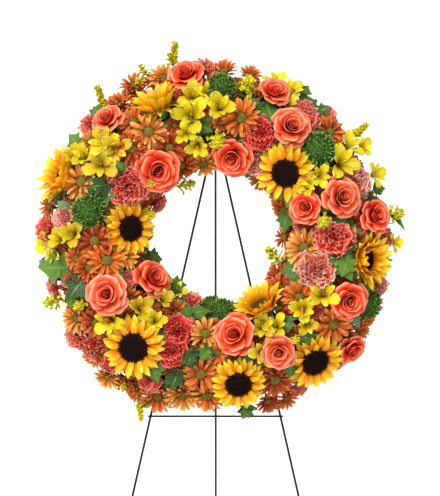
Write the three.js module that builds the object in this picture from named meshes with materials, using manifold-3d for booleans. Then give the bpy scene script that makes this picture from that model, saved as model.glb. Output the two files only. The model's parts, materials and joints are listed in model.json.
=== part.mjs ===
// A funeral wreath of mixed autumn flowers on a folding wire easel.
// Millimetres, +Z up, the flowers face -Y. The easel stands on Z = 0.
import * as THREE from 'three';
import { mergeVertices } from 'three/addons/utils/BufferGeometryUtils.js';
import Module from 'manifold-3d';

const wasm = await Module();
wasm.setup();
const RAD = Math.PI / 180;
const WELD = 1e-4; // points nearer each other than this are one

// Easel
const LEG_LENGTH = 1219;
const LEG_SPLAY = 12.84 * RAD;
const LEG_RADIUS = 2.4;
const LEG_HALF_GAP = 8.85; // from the middle to each front leg's axis, at the hinge
const LEG_TOP = 6; // how far a front leg stands above the hinge
const BAR_RADIUS = 2;
const BAR_HALF_LENGTH = 128;
const LEAN = 10 * RAD; // the front legs and the wreath lean back
const BACK_SPLAY = 14 * RAD; // the back leg stands off the vertical
const PIN_RADIUS = 2.2;
const EYE_RADIUS = 6;
const EYE_WIDTH = 5;
const TOUCH = 0.3; // gap left between pieces that touch
const CUT_LENGTH = 12; // legs are drawn this much too long and cut off level with the floor
const CUT_SLAB = 900; // width of the slab below the floor that cuts them
const WIRE_SIDES = 8;
const ROUND_SIDES = 12; // sides of the pin, the eye and its bore
const HOOK_SIDES = 6;
const HOOK_STEPS = 10;

// Ring base: a plastic tray that holds a ring of wet foam
const CENTRE_BELOW_HINGE = 165;
const BAR_BELOW_CENTRE = 336;
const RING_RADIUS = 219; // centre line of the foam
const TRAY_HALF_WIDTH = 39;
const TRAY_DEPTH = 12.3;
const TRAY_WALL = 2;
const TRAY_FLOOR = 2.5;
const TRAY_BACK = LEG_RADIUS + TOUCH;
const FOAM_FRONT = 50;
const FOAM_CHAMFER = 12;
const RING_SIDES = 28;

// Planting arch: flowers stand on an arch round the foam's centre line
const ARCH_DEPTH = 25; // the centre line's distance in front of the legs
const ARCH_RADIUS = 92;
const STEEPEST = 0.96; // sine of the steepest ordinary place on the arch
const OVERHANG = 84 * RAD; // steepest of all places on the arch
const OVERHANG_RATE = 0.5; // how fast places past the steepest ordinary one turn towards it
const HEADS_BOTTOM = 66; // no head reaches nearer the centre line than this
const BACK_LIMIT = 8.5; // no flower reaches further back than this
const HOLE_RADIUS = 103; // the wreath's hole stays open inside this radius
const FULLNESS = 1.16; // heads spread this much wider where nothing is in their way
const HEAD_GAP = 0.4; // gap between the heads of two sprays
const ROOM_BETWEEN = 4; // gap wanted between the firm middles of two heads
const SETTLING_ROUNDS = 40;
const NEIGHBOUR_REACH = 1.4; // heads further apart than this many radii and the margin don't meet
const NEIGHBOUR_MARGIN = 30;
const SMALLEST_SHARE = 0.3; // least part of the way to a neighbour that a head keeps
const STEM_WATCHED = 6; // a head also keeps off the neighbour's stem this far below the heads
const STEM_END_RADIUS = 1.3;
const STEM_RADIUS = 2.4; // a stem's widest place below its head
const HOLE_HALF = 3.6; // from a stem hole's middle to its corners
const SUNFLOWER_HOLE_HALF = 4.4;
const SUNFLOWER_STEM_RADIUS = 4.3;
const BRANCH_RADIUS = 1.45; // with its mitres
const STEM_TIP = 22; // stems end this far from the foam's centre line
const BRANCH_BEND = 42 * RAD; // most that one straight stretch of a branch turns over the arch
const BRANCH_STRETCH = 90; // longest straight stretch of a branch
const LOWEST_BRANCH = 44.5;
const BRANCH_STEP = 3.4; // each kind branches on its own level
const PAIRS_TRIED = 24; // nearest pairs of stems that a new branch may join
const SWINGS = [0, 5, -5, 10, -10, 15, -15, 20, -20, 26, -26, 32, -32, 40, -40, 50, -50, 60, -60];

// Flowers by clock angle in degrees, distance from the wreath's centre and head radius
const SUNFLOWERS = [
  [292, 305, 57], [277, 162, 50], [217, 251, 57], [171, 271, 51], [47, 180, 55],
  [141, 292, 55], [98, 290, 55], [337, 268, 46], [145, 158, 49],
];
const FACING_DISCS = [1, 2, 3, 4]; // sunflowers whose seed disc is a piece of its own
const ROSES = [
  [350, 300, 32], [318, 290, 28], [320, 172, 36], [12, 162, 33], [22, 285, 28], [34, 247, 33],
  [72, 243, 34], [71, 182, 28], [82, 292, 30], [115, 267, 32], [169, 186, 34], [243, 224, 35],
  [237, 147, 32], [151, 238, 29], [129, 318, 27],
];
const CARNATIONS = [
  [300, 188, 36], [301, 129, 20], [278, 283, 23], [273, 316, 25], [22, 213, 32], [29, 159, 24],
  [36, 281, 30], [68, 287, 27], [89, 218, 36], [108, 195, 37], [90, 314, 23], [203, 188, 28],
  [202, 227, 27], [201, 125, 22], [235, 320, 23], [227, 308, 28], [253, 316, 20], [151, 319, 19],
  [356, 318, 24], [42, 311, 19], [312, 317, 21], [205, 292, 22], [106, 318, 19],
];
const DAISIES = [
  [342, 321, 28], [332, 330, 26], [325, 312, 26], [325, 268, 26], [328, 235, 32], [317, 229, 30],
  [333, 187, 30], [335, 148, 26], [351, 139, 26], [12, 230, 34], [3, 319, 25], [12, 318, 21],
  [47, 296, 30], [308, 300, 25], [293, 273, 34], [269, 224, 32], [259, 205, 34], [257, 241, 25],
  [259, 168, 23], [281, 320, 23], [262, 264, 21], [240, 302, 28], [235, 273, 30], [218, 332, 25],
  [209, 313, 28], [200, 319, 32], [192, 301, 32], [183, 296, 34], [186, 254, 32], [186, 176, 28],
  [179, 213, 19], [157, 288, 34], [162, 323, 26], [156, 331, 23], [128, 150, 28], [125, 189, 30],
  [136, 167, 23], [121, 133, 25], [96, 164, 34], [67, 136, 26], [89, 125, 21], [126, 273, 34],
  [235, 192, 19], [119, 319, 17],
];
const LILIES = [
  [351, 265, 21], [349, 233, 25], [357, 268, 17], [2, 242, 23], [349, 179, 19], [344, 204, 15],
  [311, 271, 23], [312, 246, 21], [303, 250, 23], [300, 299, 19], [302, 284, 19], [21, 311, 19],
  [27, 305, 21], [28, 281, 15], [55, 300, 21], [58, 318, 17], [59, 271, 25], [59, 225, 17],
  [60, 198, 15], [68, 317, 19], [272, 261, 21], [270, 286, 17], [268, 312, 19], [265, 298, 17],
  [233, 246, 23], [227, 191, 21], [216, 190, 17], [218, 131, 17], [221, 154, 17], [151, 184, 21],
  [145, 198, 17], [117, 224, 23], [129, 209, 21], [133, 231, 17], [157, 228, 21], [91, 329, 15],
];
const GOLDENRODS = [
  [347, 352, 26], [337, 339, 20], [320, 331, 26], [12, 283, 25], [1, 187, 22], [311, 168, 17],
  [329, 121, 17], [290, 143, 18], [249, 313, 23], [244, 274, 17], [81, 205, 19], [82, 329, 21],
  [108, 124, 20], [53, 327, 24], [204, 352, 24],
];
const LEAVES = [
  [318, 325, 17], [305, 321, 17], [294, 240, 21], [285, 304, 15],
  [260, 302, 28], [262, 323, 15], [250, 272, 23], [253, 123, 19], [220, 113, 17], [193, 143, 19],
  [205, 268, 21], [196, 272, 17], [192, 228, 17], [165, 224, 17], [150, 275, 17],
  [170, 330, 15], [61, 161, 17], [76, 137, 19], [78, 302, 17], [102, 244, 25],
  [120, 299, 15], [31, 323, 15], [85, 345, 19], [97, 322, 14],
];
const GREEN_BALLS = [
  [2, 281, 28], [49, 252, 32], [282, 240, 31], [174, 138, 26], [183, 128, 22], [113, 312, 27],
];

// Seeded random numbers, so that every build is the same
let seed = 20261128;
function random() {
  seed = (seed + 0x6d2b79f5) | 0;
  let t = Math.imul(seed ^ (seed >>> 15), 1 | seed);
  t = (t + Math.imul(t ^ (t >>> 7), 61 | t)) ^ t;
  return ((t ^ (t >>> 14)) >>> 0) / 4294967296;
}

const vec = (x, y, z) => new THREE.Vector3(x, y, z);

// A closed geometry as a solid, with its faces turned out
function solid(geometry) {
  geometry.deleteAttribute('normal');
  geometry.deleteAttribute('uv');
  const merged = mergeVertices(geometry, WELD);
  const vertProperties = Float32Array.from(merged.attributes.position.array);
  const triVerts = Uint32Array.from(merged.index.array);
  const made = new wasm.Manifold(new wasm.Mesh({ numProp: 3, vertProperties, triVerts }));
  if (made.volume() > 0) return made;
  for (let i = 0; i < triVerts.length; i += 3) {
    [triVerts[i], triVerts[i + 1]] = [triVerts[i + 1], triVerts[i]];
  }
  return new wasm.Manifold(new wasm.Mesh({ numProp: 3, vertProperties, triVerts }));
}

// Points and triangles as a solid
function solidOf({ points, faces }) {
  const geometry = new THREE.BufferGeometry().setFromPoints(points);
  geometry.setIndex(faces.flat());
  return solid(geometry);
}

function joined(solids) {
  return solids.reduce((all, next) => all.add(next));
}

function geometryOf(made) {
  const { vertProperties, triVerts, numProp } = made.getMesh();
  const geometry = new THREE.BufferGeometry();
  const positions = new Float32Array((vertProperties.length / numProp) * 3);
  for (let i = 0; i < positions.length / 3; i++) {
    for (let k = 0; k < 3; k++) positions[3 * i + k] = vertProperties[numProp * i + k];
  }
  geometry.setAttribute('position', new THREE.BufferAttribute(positions, 3));
  geometry.setIndex(new THREE.BufferAttribute(Uint32Array.from(triVerts), 1));
  return geometry;
}

function node(name, made, material) {
  const mesh = new THREE.Mesh(geometryOf(made), material);
  mesh.name = name;
  return mesh;
}

// A bar of that radius and number of sides along the points
function bar(points, radius, sides, steps) {
  const shape = new THREE.Shape();
  for (let i = 0; i < sides; i++) {
    const a = (i + 0.5) * 2 * Math.PI / sides;
    if (i === 0) shape.moveTo(radius * Math.cos(a), radius * Math.sin(a));
    else shape.lineTo(radius * Math.cos(a), radius * Math.sin(a));
  }
  const path = points.length === 2 ? new THREE.LineCurve3(...points)
    : new THREE.CatmullRomCurve3(points, false, 'centripetal');
  return solid(new THREE.ExtrudeGeometry(shape, { steps, bevelEnabled: false, extrudePath: path }));
}

// Materials
const paint = (color, roughness = 0.7, metalness = 0) =>
  new THREE.MeshStandardMaterial({ color, roughness, metalness });
const blackWire = paint('#1b1b1c', 0.4, 0.5);
const trayPlastic = paint('#1f3a24', 0.6);
const wetFoam = paint('#2f5a33', 0.95);
const sunPetal = paint('#f7b21b');
const seedDisc = paint('#2a160d', 0.95);
const roseRed = paint('#e8502f');
const carnationRed = paint('#d8403a');
const daisyBronze = paint('#c9622a');
const lilyYellow = paint('#efd51f');
const goldenrodYellow = paint('#c9cc2a');
const leafGreen = paint('#3f6f2c');

// Easel, in the row's axes with the hinge above the origin
const FRONT_HEIGHT = LEG_LENGTH * Math.cos(LEG_SPLAY);
const HINGE_HEIGHT = FRONT_HEIGHT * Math.cos(LEAN);

// A point of the leaning front plane: across, up from the hinge, and in front of the legs
function onFront(across, up, front) {
  const z = HINGE_HEIGHT + up * Math.cos(LEAN) + front * Math.sin(LEAN);
  return vec(across, up * Math.sin(LEAN) - front * Math.cos(LEAN), z);
}

function belowFloor() {
  const slab = new THREE.BoxGeometry(CUT_SLAB, CUT_SLAB, CUT_SLAB);
  slab.translate(0, 0, -CUT_SLAB / 2);
  return solid(slab);
}

const legSpread = (down) => LEG_HALF_GAP + down * Math.tan(LEG_SPLAY);

function frontLeg(side) {
  const past = FRONT_HEIGHT + CUT_LENGTH;
  const top = onFront(side * legSpread(-LEG_TOP), LEG_TOP, 0);
  const foot = onFront(side * legSpread(past), -past, 0);
  return bar([top, foot], LEG_RADIUS, WIRE_SIDES, 1).subtract(belowFloor());
}

function backLeg() {
  const hinge = vec(0, 0, HINGE_HEIGHT);
  const down = vec(0, Math.sin(BACK_SPLAY), -Math.cos(BACK_SPLAY));
  const start = hinge.clone().addScaledVector(down, (PIN_RADIUS + EYE_RADIUS) / 2);
  const end = hinge.clone().addScaledVector(down, HINGE_HEIGHT / Math.cos(BACK_SPLAY) + CUT_LENGTH);
  const inner = PIN_RADIUS + TOUCH;
  const rim = [[inner, -1], [EYE_RADIUS, -1], [EYE_RADIUS, 1], [inner, 1], [inner, -1]];
  const profile = rim.map(([r, s]) => new THREE.Vector2(r, s * EYE_WIDTH / 2));
  const eye = new THREE.LatheGeometry(profile, ROUND_SIDES);
  eye.rotateZ(Math.PI / 2);
  eye.translate(0, 0, HINGE_HEIGHT);
  const bore = new THREE.CylinderGeometry(inner, inner, 3 * EYE_WIDTH, ROUND_SIDES);
  bore.rotateZ(Math.PI / 2);
  bore.translate(0, 0, HINGE_HEIGHT);
  const leg = bar([start, end], LEG_RADIUS, WIRE_SIDES, 1).subtract(belowFloor());
  return leg.add(solid(eye)).subtract(solid(bore));
}

function hingePin() {
  const half = LEG_HALF_GAP - LEG_RADIUS / Math.cos(LEG_SPLAY) - PIN_RADIUS * Math.tan(LEG_SPLAY);
  const length = 2 * (half - TOUCH);
  const pin = new THREE.CylinderGeometry(PIN_RADIUS, PIN_RADIUS, length, ROUND_SIDES);
  pin.rotateZ(Math.PI / 2);
  pin.translate(0, 0, HINGE_HEIGHT);
  return solid(pin);
}

const BAR_FRONT = LEG_RADIUS + BAR_RADIUS + TOUCH;

function crossbar() {
  const up = -CENTRE_BELOW_HINGE - BAR_BELOW_CENTRE;
  const ends = [-1, 1].map((side) => onFront(side * BAR_HALF_LENGTH, up, BAR_FRONT));
  return bar(ends, BAR_RADIUS, WIRE_SIDES, 1);
}

// The hook's arm runs forward just under the ring's inner wall and turns up at its tip
const HOOK_BAR_UP = -15;
const HOOK_BAR_HALF = 16;
const HOOK_REACH = 57;
const HOOK_TIP_RISE = 12;
const ARM_UP = RING_RADIUS - TRAY_HALF_WIDTH - CENTRE_BELOW_HINGE - BAR_RADIUS - TOUCH;
const HOOK_FRONT = EYE_RADIUS + BAR_RADIUS + 1.5; // the hook's stem stands clear of the hinge's eye
// The hook's rounded corners, each given as its height and its distance in front of the legs
const HOOK_POINTS = [
  [HOOK_BAR_UP, BAR_FRONT], [HOOK_BAR_UP + 4, HOOK_FRONT], [ARM_UP - 7, HOOK_FRONT],
  [ARM_UP - 1.5, HOOK_FRONT + 5], [ARM_UP, HOOK_FRONT + 14], [ARM_UP, HOOK_REACH - 6],
  [ARM_UP + 5, HOOK_REACH], [ARM_UP + HOOK_TIP_RISE, HOOK_REACH],
];

function topHook() {
  const cross = [-1, 1].map((side) => onFront(side * HOOK_BAR_HALF, HOOK_BAR_UP, BAR_FRONT));
  const arm = HOOK_POINTS.map(([up, front]) => onFront(0, up, front));
  return bar(cross, BAR_RADIUS, WIRE_SIDES, 1).add(bar(arm, BAR_RADIUS, HOOK_SIDES, HOOK_STEPS));
}

// The wreath has axes of its own: X across, Z up and -Y forward, from its centre
function lathed(outline) {
  const closed = [...outline, outline[0]];
  const profile = closed.map(([radius, front]) => new THREE.Vector2(radius, front));
  const ring = new THREE.LatheGeometry(profile, RING_SIDES);
  ring.rotateX(Math.PI);
  return solid(ring);
}

function tray() {
  const [inner, outer] = [RING_RADIUS - TRAY_HALF_WIDTH, RING_RADIUS + TRAY_HALF_WIDTH];
  const [floor, rim] = [TRAY_BACK + TRAY_FLOOR, TRAY_BACK + TRAY_DEPTH];
  return lathed([
    [inner, TRAY_BACK], [outer, TRAY_BACK], [outer, rim], [outer - TRAY_WALL, rim],
    [outer - TRAY_WALL, floor], [inner + TRAY_WALL, floor], [inner + TRAY_WALL, rim], [inner, rim],
  ]);
}

function foam(stems) {
  const half = TRAY_HALF_WIDTH - TRAY_WALL - TOUCH;
  const back = TRAY_BACK + TRAY_FLOOR + TOUCH;
  const [inner, outer] = [RING_RADIUS - half, RING_RADIUS + half];
  const ring = lathed([
    [inner, back], [outer, back], [outer, FOAM_FRONT - FOAM_CHAMFER],
    [outer - FOAM_CHAMFER, FOAM_FRONT], [inner + FOAM_CHAMFER, FOAM_FRONT],
    [inner, FOAM_FRONT - FOAM_CHAMFER],
  ]);
  const holes = stems.map(({ at, hole }) =>
    bar([at(HEADS_BOTTOM), at(STEM_TIP - 2 * TOUCH)], hole, 4, 1));
  return ring.subtract(joined(holes));
}

// A place on the arch: clock angle, angle over the arch and distance from the foam's centre line
function archPoint(clock, over, away) {
  const out = RING_RADIUS + away * Math.sin(over);
  const front = ARCH_DEPTH + away * Math.cos(over);
  return vec(out * Math.sin(clock), -front, out * Math.cos(clock));
}

// Triangles between an inner and an outer ring of points, both in order of their angle
function stitched(inner, outer) {
  const faces = [];
  const angle = (ring, k) => ring[k % ring.length].angle + (k < ring.length ? 0 : 2 * Math.PI);
  let [i, k] = [0, 0];
  while (i < inner.length || k < outer.length) {
    const [a, b] = [inner[i % inner.length].id, outer[k % outer.length].id];
    const innerFirst = angle(inner, i + 1) <= angle(outer, k + 1) + 1e-9;
    if (k === outer.length || (innerFirst && i < inner.length)) {
      i += 1;
      faces.push([a, b, inner[i % inner.length].id]);
    } else {
      k += 1;
      faces.push([a, b, outer[k % outer.length].id]);
    }
  }
  return faces;
}

const flipped = (faces) => faces.map(([a, b, c]) => [a, c, b]);

// A flower on its stem as one closed surface, in its own axes with its face to +Z.
// Petal tips and notches by turns make the outline, a rib lies along each petal, and the
// layers further in are rings of points, each given as radius, height and share of a petal turned.
function flowerForm(f, { petals, tip, notch, rib, layers = [], top, calyx, lobes = null }) {
  const r = f.radius * FULLNESS;
  const turn = random() * 2 * Math.PI;
  const points = [];
  const ring = (count, radius, height, share, scale = r) => {
    const made = [];
    for (let k = 0; k < count; k++) {
      const angle = turn + (k + share) * 2 * Math.PI / count;
      const out = radius * scale * (lobes && count === petals && share === 0 ? lobes[k] : 1);
      made.push({ id: points.length, angle });
      points.push(vec(out * Math.cos(angle), out * Math.sin(angle), height * scale));
    }
    return made;
  };
  const end = f.isRoot ? STEM_TIP : f.branch;
  const foot = ring(3, STEM_END_RADIUS, end - f.away, 0, 1);
  const cup = ring(3, calyx[0] + STEM_END_RADIUS / r, calyx[1], 0);
  const tips = ring(petals, tip[0], tip[1], 0);
  const notches = ring(petals, notch[0], notch[1], 0.5);
  const outline = tips.flatMap((point, k) => [point, notches[k]]);
  const faces = flipped([...stitched(foot, cup), ...stitched(cup, outline)]);
  let outer = outline;
  for (const [radius, height, share] of [[...rib, 0], ...layers]) {
    const inner = ring(petals, radius, height, share);
    faces.push(...stitched(inner, outer));
    outer = inner;
  }
  points.push(vec(0, 0, top * r));
  outer.forEach((point, k) => {
    faces.push([points.length - 1, point.id, outer[(k + 1) % outer.length].id]);
  });
  return { points, faces, foot };
}

// Flower forms, in shares of the head's radius
const SEAT = { radius: 0.42, edge: 0.04, middle: -0.08 };
const cupped = (cup) => ({ petals: 12, tip: [1, cup], notch: [0.66, 0.02], rib: [0.74, 0.1 + cup / 3],
  layers: [[0.56, 0.2, 0.5], [SEAT.radius, SEAT.edge, 0]], top: SEAT.middle, calyx: [0.06, -0.3] });
const OPEN_SUNFLOWER = cupped(0.06);
const SHY_SUNFLOWER = { ...cupped(0.3), top: 0.2 };
SHY_SUNFLOWER.layers = [...SHY_SUNFLOWER.layers, [0.34, 0.24, 0.5]];
const ROSE = { petals: 5, tip: [1, 0.06], notch: [0.82, -0.04], rib: [0.66, 0.0],
  layers: [[0.72, 0.34, 0.5], [0.46, 0.2, 0], [0.46, 0.52, 0.5], [0.2, 0.4, 0]], top: 0.62,
  calyx: [0.08, -0.5] };
const CARNATION = { petals: 6, tip: [1, 0.02], notch: [0.74, 0.14], rib: [0.62, 0.14],
  layers: [[0.68, 0.42, 0.5], [0.34, 0.3, 0]], top: 0.56, calyx: [0.1, -0.6] };
const DAISY = { petals: 8, tip: [1, 0.04], notch: [0.6, 0], rib: [0.62, 0.14],
  layers: [[0.26, 0.18, 0.5]], top: 0.26, calyx: [0.06, -0.3] };
const LILY = { petals: 6, tip: [1, 0.3], notch: [0.55, 0.06], rib: [0.55, 0.2], top: -0.06,
  calyx: [0.02, -0.6] };
const LEAF = { petals: 5, tip: [1, 0.1], notch: [0.66, 0.14], rib: [0.56, 0.16], top: 0.06,
  calyx: [0, -0.2], lobes: [1, 0.85, 0.74, 0.74, 0.85] };
const GREEN_BALL = { petals: 6, tip: [1, 0.05], notch: [0.84, -0.02], rib: [0.84, 0.34],
  layers: [[0.72, 0.56, 0.5], [0.4, 0.72, 0]], top: 0.86, calyx: [0.06, -0.5] };
const GOLDENROD = { petals: 5, tip: [0.62, -0.1], notch: [0.34, 0], rib: [0.32, 0.2],
  layers: [[0.5, 0.26, 0.5], [0.24, 0.52, 0], [0.36, 0.6, 0.5]], top: 1,
  calyx: [0.06, -0.4] };

// The seed disc sits in the petals' shallow seat, just clear of it
function seedDiscForm(r) {
  const sides = 11;
  const [rim, crown, middle] = [0.36, 0.28, 0.2]; // radius of rim and crown, height of the middle
  const [low, high] = [0.24, 0.3]; // heights of the crown by turns
  const seat = (share) => (SEAT.middle + (SEAT.edge - SEAT.middle) * share / SEAT.radius) * r + 2 * TOUCH;
  const points = [vec(0, 0, seat(0)), vec(0, 0, middle * r)];
  const faces = [];
  for (let k = 0; k < sides; k++) {
    const angle = k * 2 * Math.PI / sides;
    const [x, y] = [Math.cos(angle) * r, Math.sin(angle) * r];
    points.push(vec(rim * x, rim * y, seat(rim)));
    points.push(vec(crown * x, crown * y, (k % 2 ? high : low) * r));
    const [a, b] = [2 + 2 * k, 3 + 2 * k];
    const [c, d] = [2 + 2 * ((k + 1) % sides), 3 + 2 * ((k + 1) % sides)];
    faces.push([0, c, a], [a, c, d], [a, d, b], [1, b, d]);
  }
  return { points, faces, foot: [] };
}

// Kinds of flower: list, form, number of sprays and share of a head that never narrows
const KINDS = [
  { name: 'sunflower', list: SUNFLOWERS, sprays: 9, firm: 0.62, material: sunPetal },
  { name: 'roses', list: ROSES, form: ROSE, sprays: 6, firm: 0.5, material: roseRed },
  { name: 'carnations', list: CARNATIONS, form: CARNATION, sprays: 7, firm: 0.4,
    material: carnationRed },
  { name: 'daisies', list: DAISIES, form: DAISY, sprays: 9, firm: 0.4, material: daisyBronze },
  { name: 'alstroemeria', list: LILIES, form: LILY, sprays: 6, firm: 0.4, material: lilyYellow },
  { name: 'goldenrod', list: GOLDENRODS, form: GOLDENROD, sprays: 5, firm: 0.4,
    material: goldenrodYellow },
  { name: 'greenery', list: [...LEAVES, ...GREEN_BALLS], form: LEAF, sprays: 6, firm: 0.4,
    material: leafGreen },
];

// Each flower's place: where it stands on the arch, which way it faces and its spray
function flowerAt(kind, index, level) {
  const [clockDegrees, distance, radius] = kind.list[index];
  const sine = (distance - RING_RADIUS) / ARCH_RADIUS;
  const over = Math.abs(sine) <= STEEPEST ? Math.asin(sine)
    : Math.sign(sine)
      * Math.min(OVERHANG, Math.asin(STEEPEST) + (Math.abs(sine) - STEEPEST) * OVERHANG_RATE);
  const away = Math.abs(sine) <= STEEPEST ? ARCH_RADIUS : (distance - RING_RADIUS) / Math.sin(over);
  const isBall = kind.name === 'greenery' && index >= LEAVES.length;
  const isShy = kind.name === 'sunflower' && !FACING_DISCS.includes(index);
  const sunflowerForm = isShy ? SHY_SUNFLOWER : OPEN_SUNFLOWER;
  const form = isBall ? GREEN_BALL : kind.form ?? sunflowerForm;
  return { kind, radius, index, form, isShy, clock: clockDegrees * RAD, over, away, level,
    branch: LOWEST_BRANCH + level * BRANCH_STEP };
}

const flowers = KINDS.flatMap((kind, k) =>
  kind.list.map((_, index) => flowerAt(kind, index, Math.max(0, k - 1))));

// Sprays: flowers of a kind, taken in clock order and parted at the widest gaps
for (const kind of KINDS) {
  const own = flowers.filter((f) => f.kind === kind);
  own.sort((a, b) => a.clock - b.clock);
  const gapBefore = (i) => own[i].clock - (i ? own[i - 1].clock : own.at(-1).clock - 2 * Math.PI);
  const starts = own.map((_, i) => i).sort((a, b) => gapBefore(b) - gapBefore(a)).slice(0, kind.sprays);
  own.forEach((flower, i) => {
    flower.spray = (starts.filter((start) => start <= i).length + kind.sprays - 1) % kind.sprays;
  });
}

// Heads too near each other are moved apart over the arch, the smaller one further
const turnBetween = (a, b) => Math.atan2(Math.sin(b.clock - a.clock), Math.cos(b.clock - a.clock));
const centreOf = (f) => archPoint(f.clock, f.over, f.away);
for (let round = 0; round < SETTLING_ROUNDS; round++) {
  for (let i = 0; i < flowers.length; i++) {
    for (let k = i + 1; k < flowers.length; k++) {
      const [a, b] = [flowers[i], flowers[k]];
      const wanted = a.kind.firm * a.radius + b.kind.firm * b.radius + ROOM_BETWEEN;
      const [p, q] = [centreOf(a), centreOf(b)];
      const short = wanted - p.distanceTo(q);
      if (short <= 0) continue;
      const share = b.radius / (a.radius + b.radius);
      const out = RING_RADIUS + ARCH_RADIUS * Math.sin(a.over);
      const across = turnBetween(a, b) * out;
      const over = (b.over - a.over) * ARCH_RADIUS;
      const length = Math.hypot(across, over) || 1;
      a.clock -= short * share * across / length / out;
      b.clock += short * (1 - share) * across / length / out;
      a.over -= short * share * over / length / ARCH_RADIUS;
      b.over += short * (1 - share) * over / length / ARCH_RADIUS;
    }
  }
}

for (const flower of flowers) {
  flower.centre = centreOf(flower);
  flower.at = (away) => archPoint(flower.clock, flower.over, away);
  flower.facing = flower.at(flower.away + 1).sub(flower.centre).normalize();
  flower.stemRadius = flower.kind.name === 'sunflower' ? SUNFLOWER_STEM_RADIUS : STEM_RADIUS;
  flower.hole = flower.kind.name === 'sunflower' ? SUNFLOWER_HOLE_HALF : HOLE_HALF;
  flower.nodeKey = `${flower.kind.name}_${flower.spray + 1}`;
}

// Nearest point of segment a-b to p
function nearestOn(a, b, p) {
  const ab = b.clone().sub(a);
  const t = THREE.MathUtils.clamp(p.clone().sub(a).dot(ab) / ab.lengthSq(), 0, 1);
  return a.clone().addScaledVector(ab, t);
}

// The flat walls round a head: half way to each neighbour, off their stems, and the wreath's limits
function wallsOf(f) {
  const walls = [];
  const wall = (normal, distance) => walls.push({ normal, distance });
  for (const g of flowers) {
    if (g === f) continue;
    const apart = g.centre.clone().sub(f.centre);
    const d = apart.length();
    if (d > NEIGHBOUR_REACH * (f.radius + g.radius) + NEIGHBOUR_MARGIN) continue;
    const mid = (d * d + f.radius ** 2 - g.radius ** 2) / (2 * d);
    const firmPart = (flower) => Math.min(flower.kind.firm * flower.radius + 1, d / 2);
    const low = Math.max(SMALLEST_SHARE * d, firmPart(f));
    const high = Math.min((1 - SMALLEST_SHARE) * d, d - firmPart(g));
    wall(apart.clone().divideScalar(d), THREE.MathUtils.clamp(mid, low, high) - HEAD_GAP / 2);
    const stem = nearestOn(g.centre, g.at(HEADS_BOTTOM - STEM_WATCHED), f.centre).sub(f.centre);
    wall(stem.clone().normalize(), stem.length() - g.stemRadius - 2 * HEAD_GAP);
  }
  wall(f.facing.clone().negate(), f.away - HEADS_BOTTOM);
  wall(vec(0, 1, 0), -f.centre.y - BACK_LIMIT);
  const inward = vec(-Math.sin(f.clock), 0, -Math.cos(f.clock));
  wall(inward, Math.hypot(f.centre.x, f.centre.z) - HOLE_RADIUS);
  return walls;
}

// The stem's foot swept on along its branch, with a mitre at every bend and a cap at the end
function branchFaces(points, foot, path) {
  const faces = [];
  let last = foot;
  const heading = (k) => path[k].clone().sub(path[k - 1]).normalize();
  const onMitre = (corner, k) => {
    const along = heading(k);
    const normal = k + 1 < path.length ? along.clone().add(heading(k + 1)) : along;
    const far = path[k].clone().sub(corner).dot(normal) / along.dot(normal);
    return corner.clone().addScaledVector(along, far);
  };
  for (const { id } of foot) points[id] = onMitre(points[id], 1);
  for (let k = 2; k < path.length; k++) {
    const next = last.map(({ id, angle }) => {
      points.push(onMitre(points[id], k));
      return { id: points.length - 1, angle };
    });
    faces.push(...flipped(stitched(next, last)));
    last = next;
  }
  faces.push([last[0].id, last[2].id, last[1].id]);
  return faces;
}

// A form set in its place, narrowed towards the head's centre where a wall is nearer than it is wide
function placed(f, { points, faces, foot }) {
  const x = vec(0, 0, 0).crossVectors(vec(0, 0, 1), f.facing).normalize();
  const y = vec(0, 0, 0).crossVectors(f.facing, x);
  const walls = wallsOf(f);
  const firm = f.kind.name === 'sunflower' ? f.kind.firm * f.radius : 0;
  const fixed = foot.length;
  const head = points.slice(fixed);
  const tall = Math.max(...head.map((p) => Math.abs(p.z)));
  const reach = (side, up) => 1 / Math.hypot(side / (f.radius * FULLNESS), up / tall);
  const spare = Math.max(...head.map((p) => p.length() / reach(Math.hypot(p.x, p.y) / p.length(),
    p.z / p.length())));
  const moved = points.map((p, i) => {
    const direction = vec(0, 0, 0).addScaledVector(x, p.x).addScaledVector(y, p.y)
      .addScaledVector(f.facing, p.z);
    const length = direction.length() || 1;
    direction.divideScalar(length);
    const widest = spare * reach(Math.hypot(p.x, p.y) / length, p.z / length);
    let room = Infinity;
    for (const { normal, distance } of walls) {
      const towards = direction.dot(normal);
      if (towards > 1e-6) room = Math.min(room, distance / towards);
    }
    const scale = i < fixed ? 1 : Math.min(1, room / (length <= firm ? length : widest));
    return f.centre.clone().addScaledVector(direction, length * scale);
  });
  if (fixed) faces.push(...branchFaces(moved, foot, [f.centre, ...f.branchPath]));
  return solidOf({ points: moved, faces });
}

// Distance between segments p-q and r-s
function segmentDistance(p, q, r, s) {
  let best = Infinity;
  const steps = 12;
  for (let i = 0; i <= steps; i++) {
    const a = p.clone().lerp(q, i / steps);
    const b = r.clone().lerp(s, i / steps);
    best = Math.min(best, nearestOn(r, s, a).distanceTo(a), nearestOn(p, q, b).distanceTo(b));
  }
  return best;
}

const rods = []; // every stem, branch and wire that a new one has to clear
function isClear(points, radius, nodeKey) {
  for (const rod of rods) {
    if (rod.nodeKey === nodeKey) continue;
    for (let i = 1; i < points.length; i++) {
      const apart = segmentDistance(points[i - 1], points[i], rod.a, rod.b);
      if (apart < radius + rod.radius + HEAD_GAP) return false;
    }
  }
  return true;
}

function addRod(points, radius, nodeKey) {
  for (let i = 1; i < points.length; i++) rods.push({ a: points[i - 1], b: points[i], radius, nodeKey });
}

const centreUp = ([up, front]) => vec(0, -front, up + CENTRE_BELOW_HINGE);
addRod(HOOK_POINTS.map(centreUp), BAR_RADIUS, 'hook');

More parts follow.
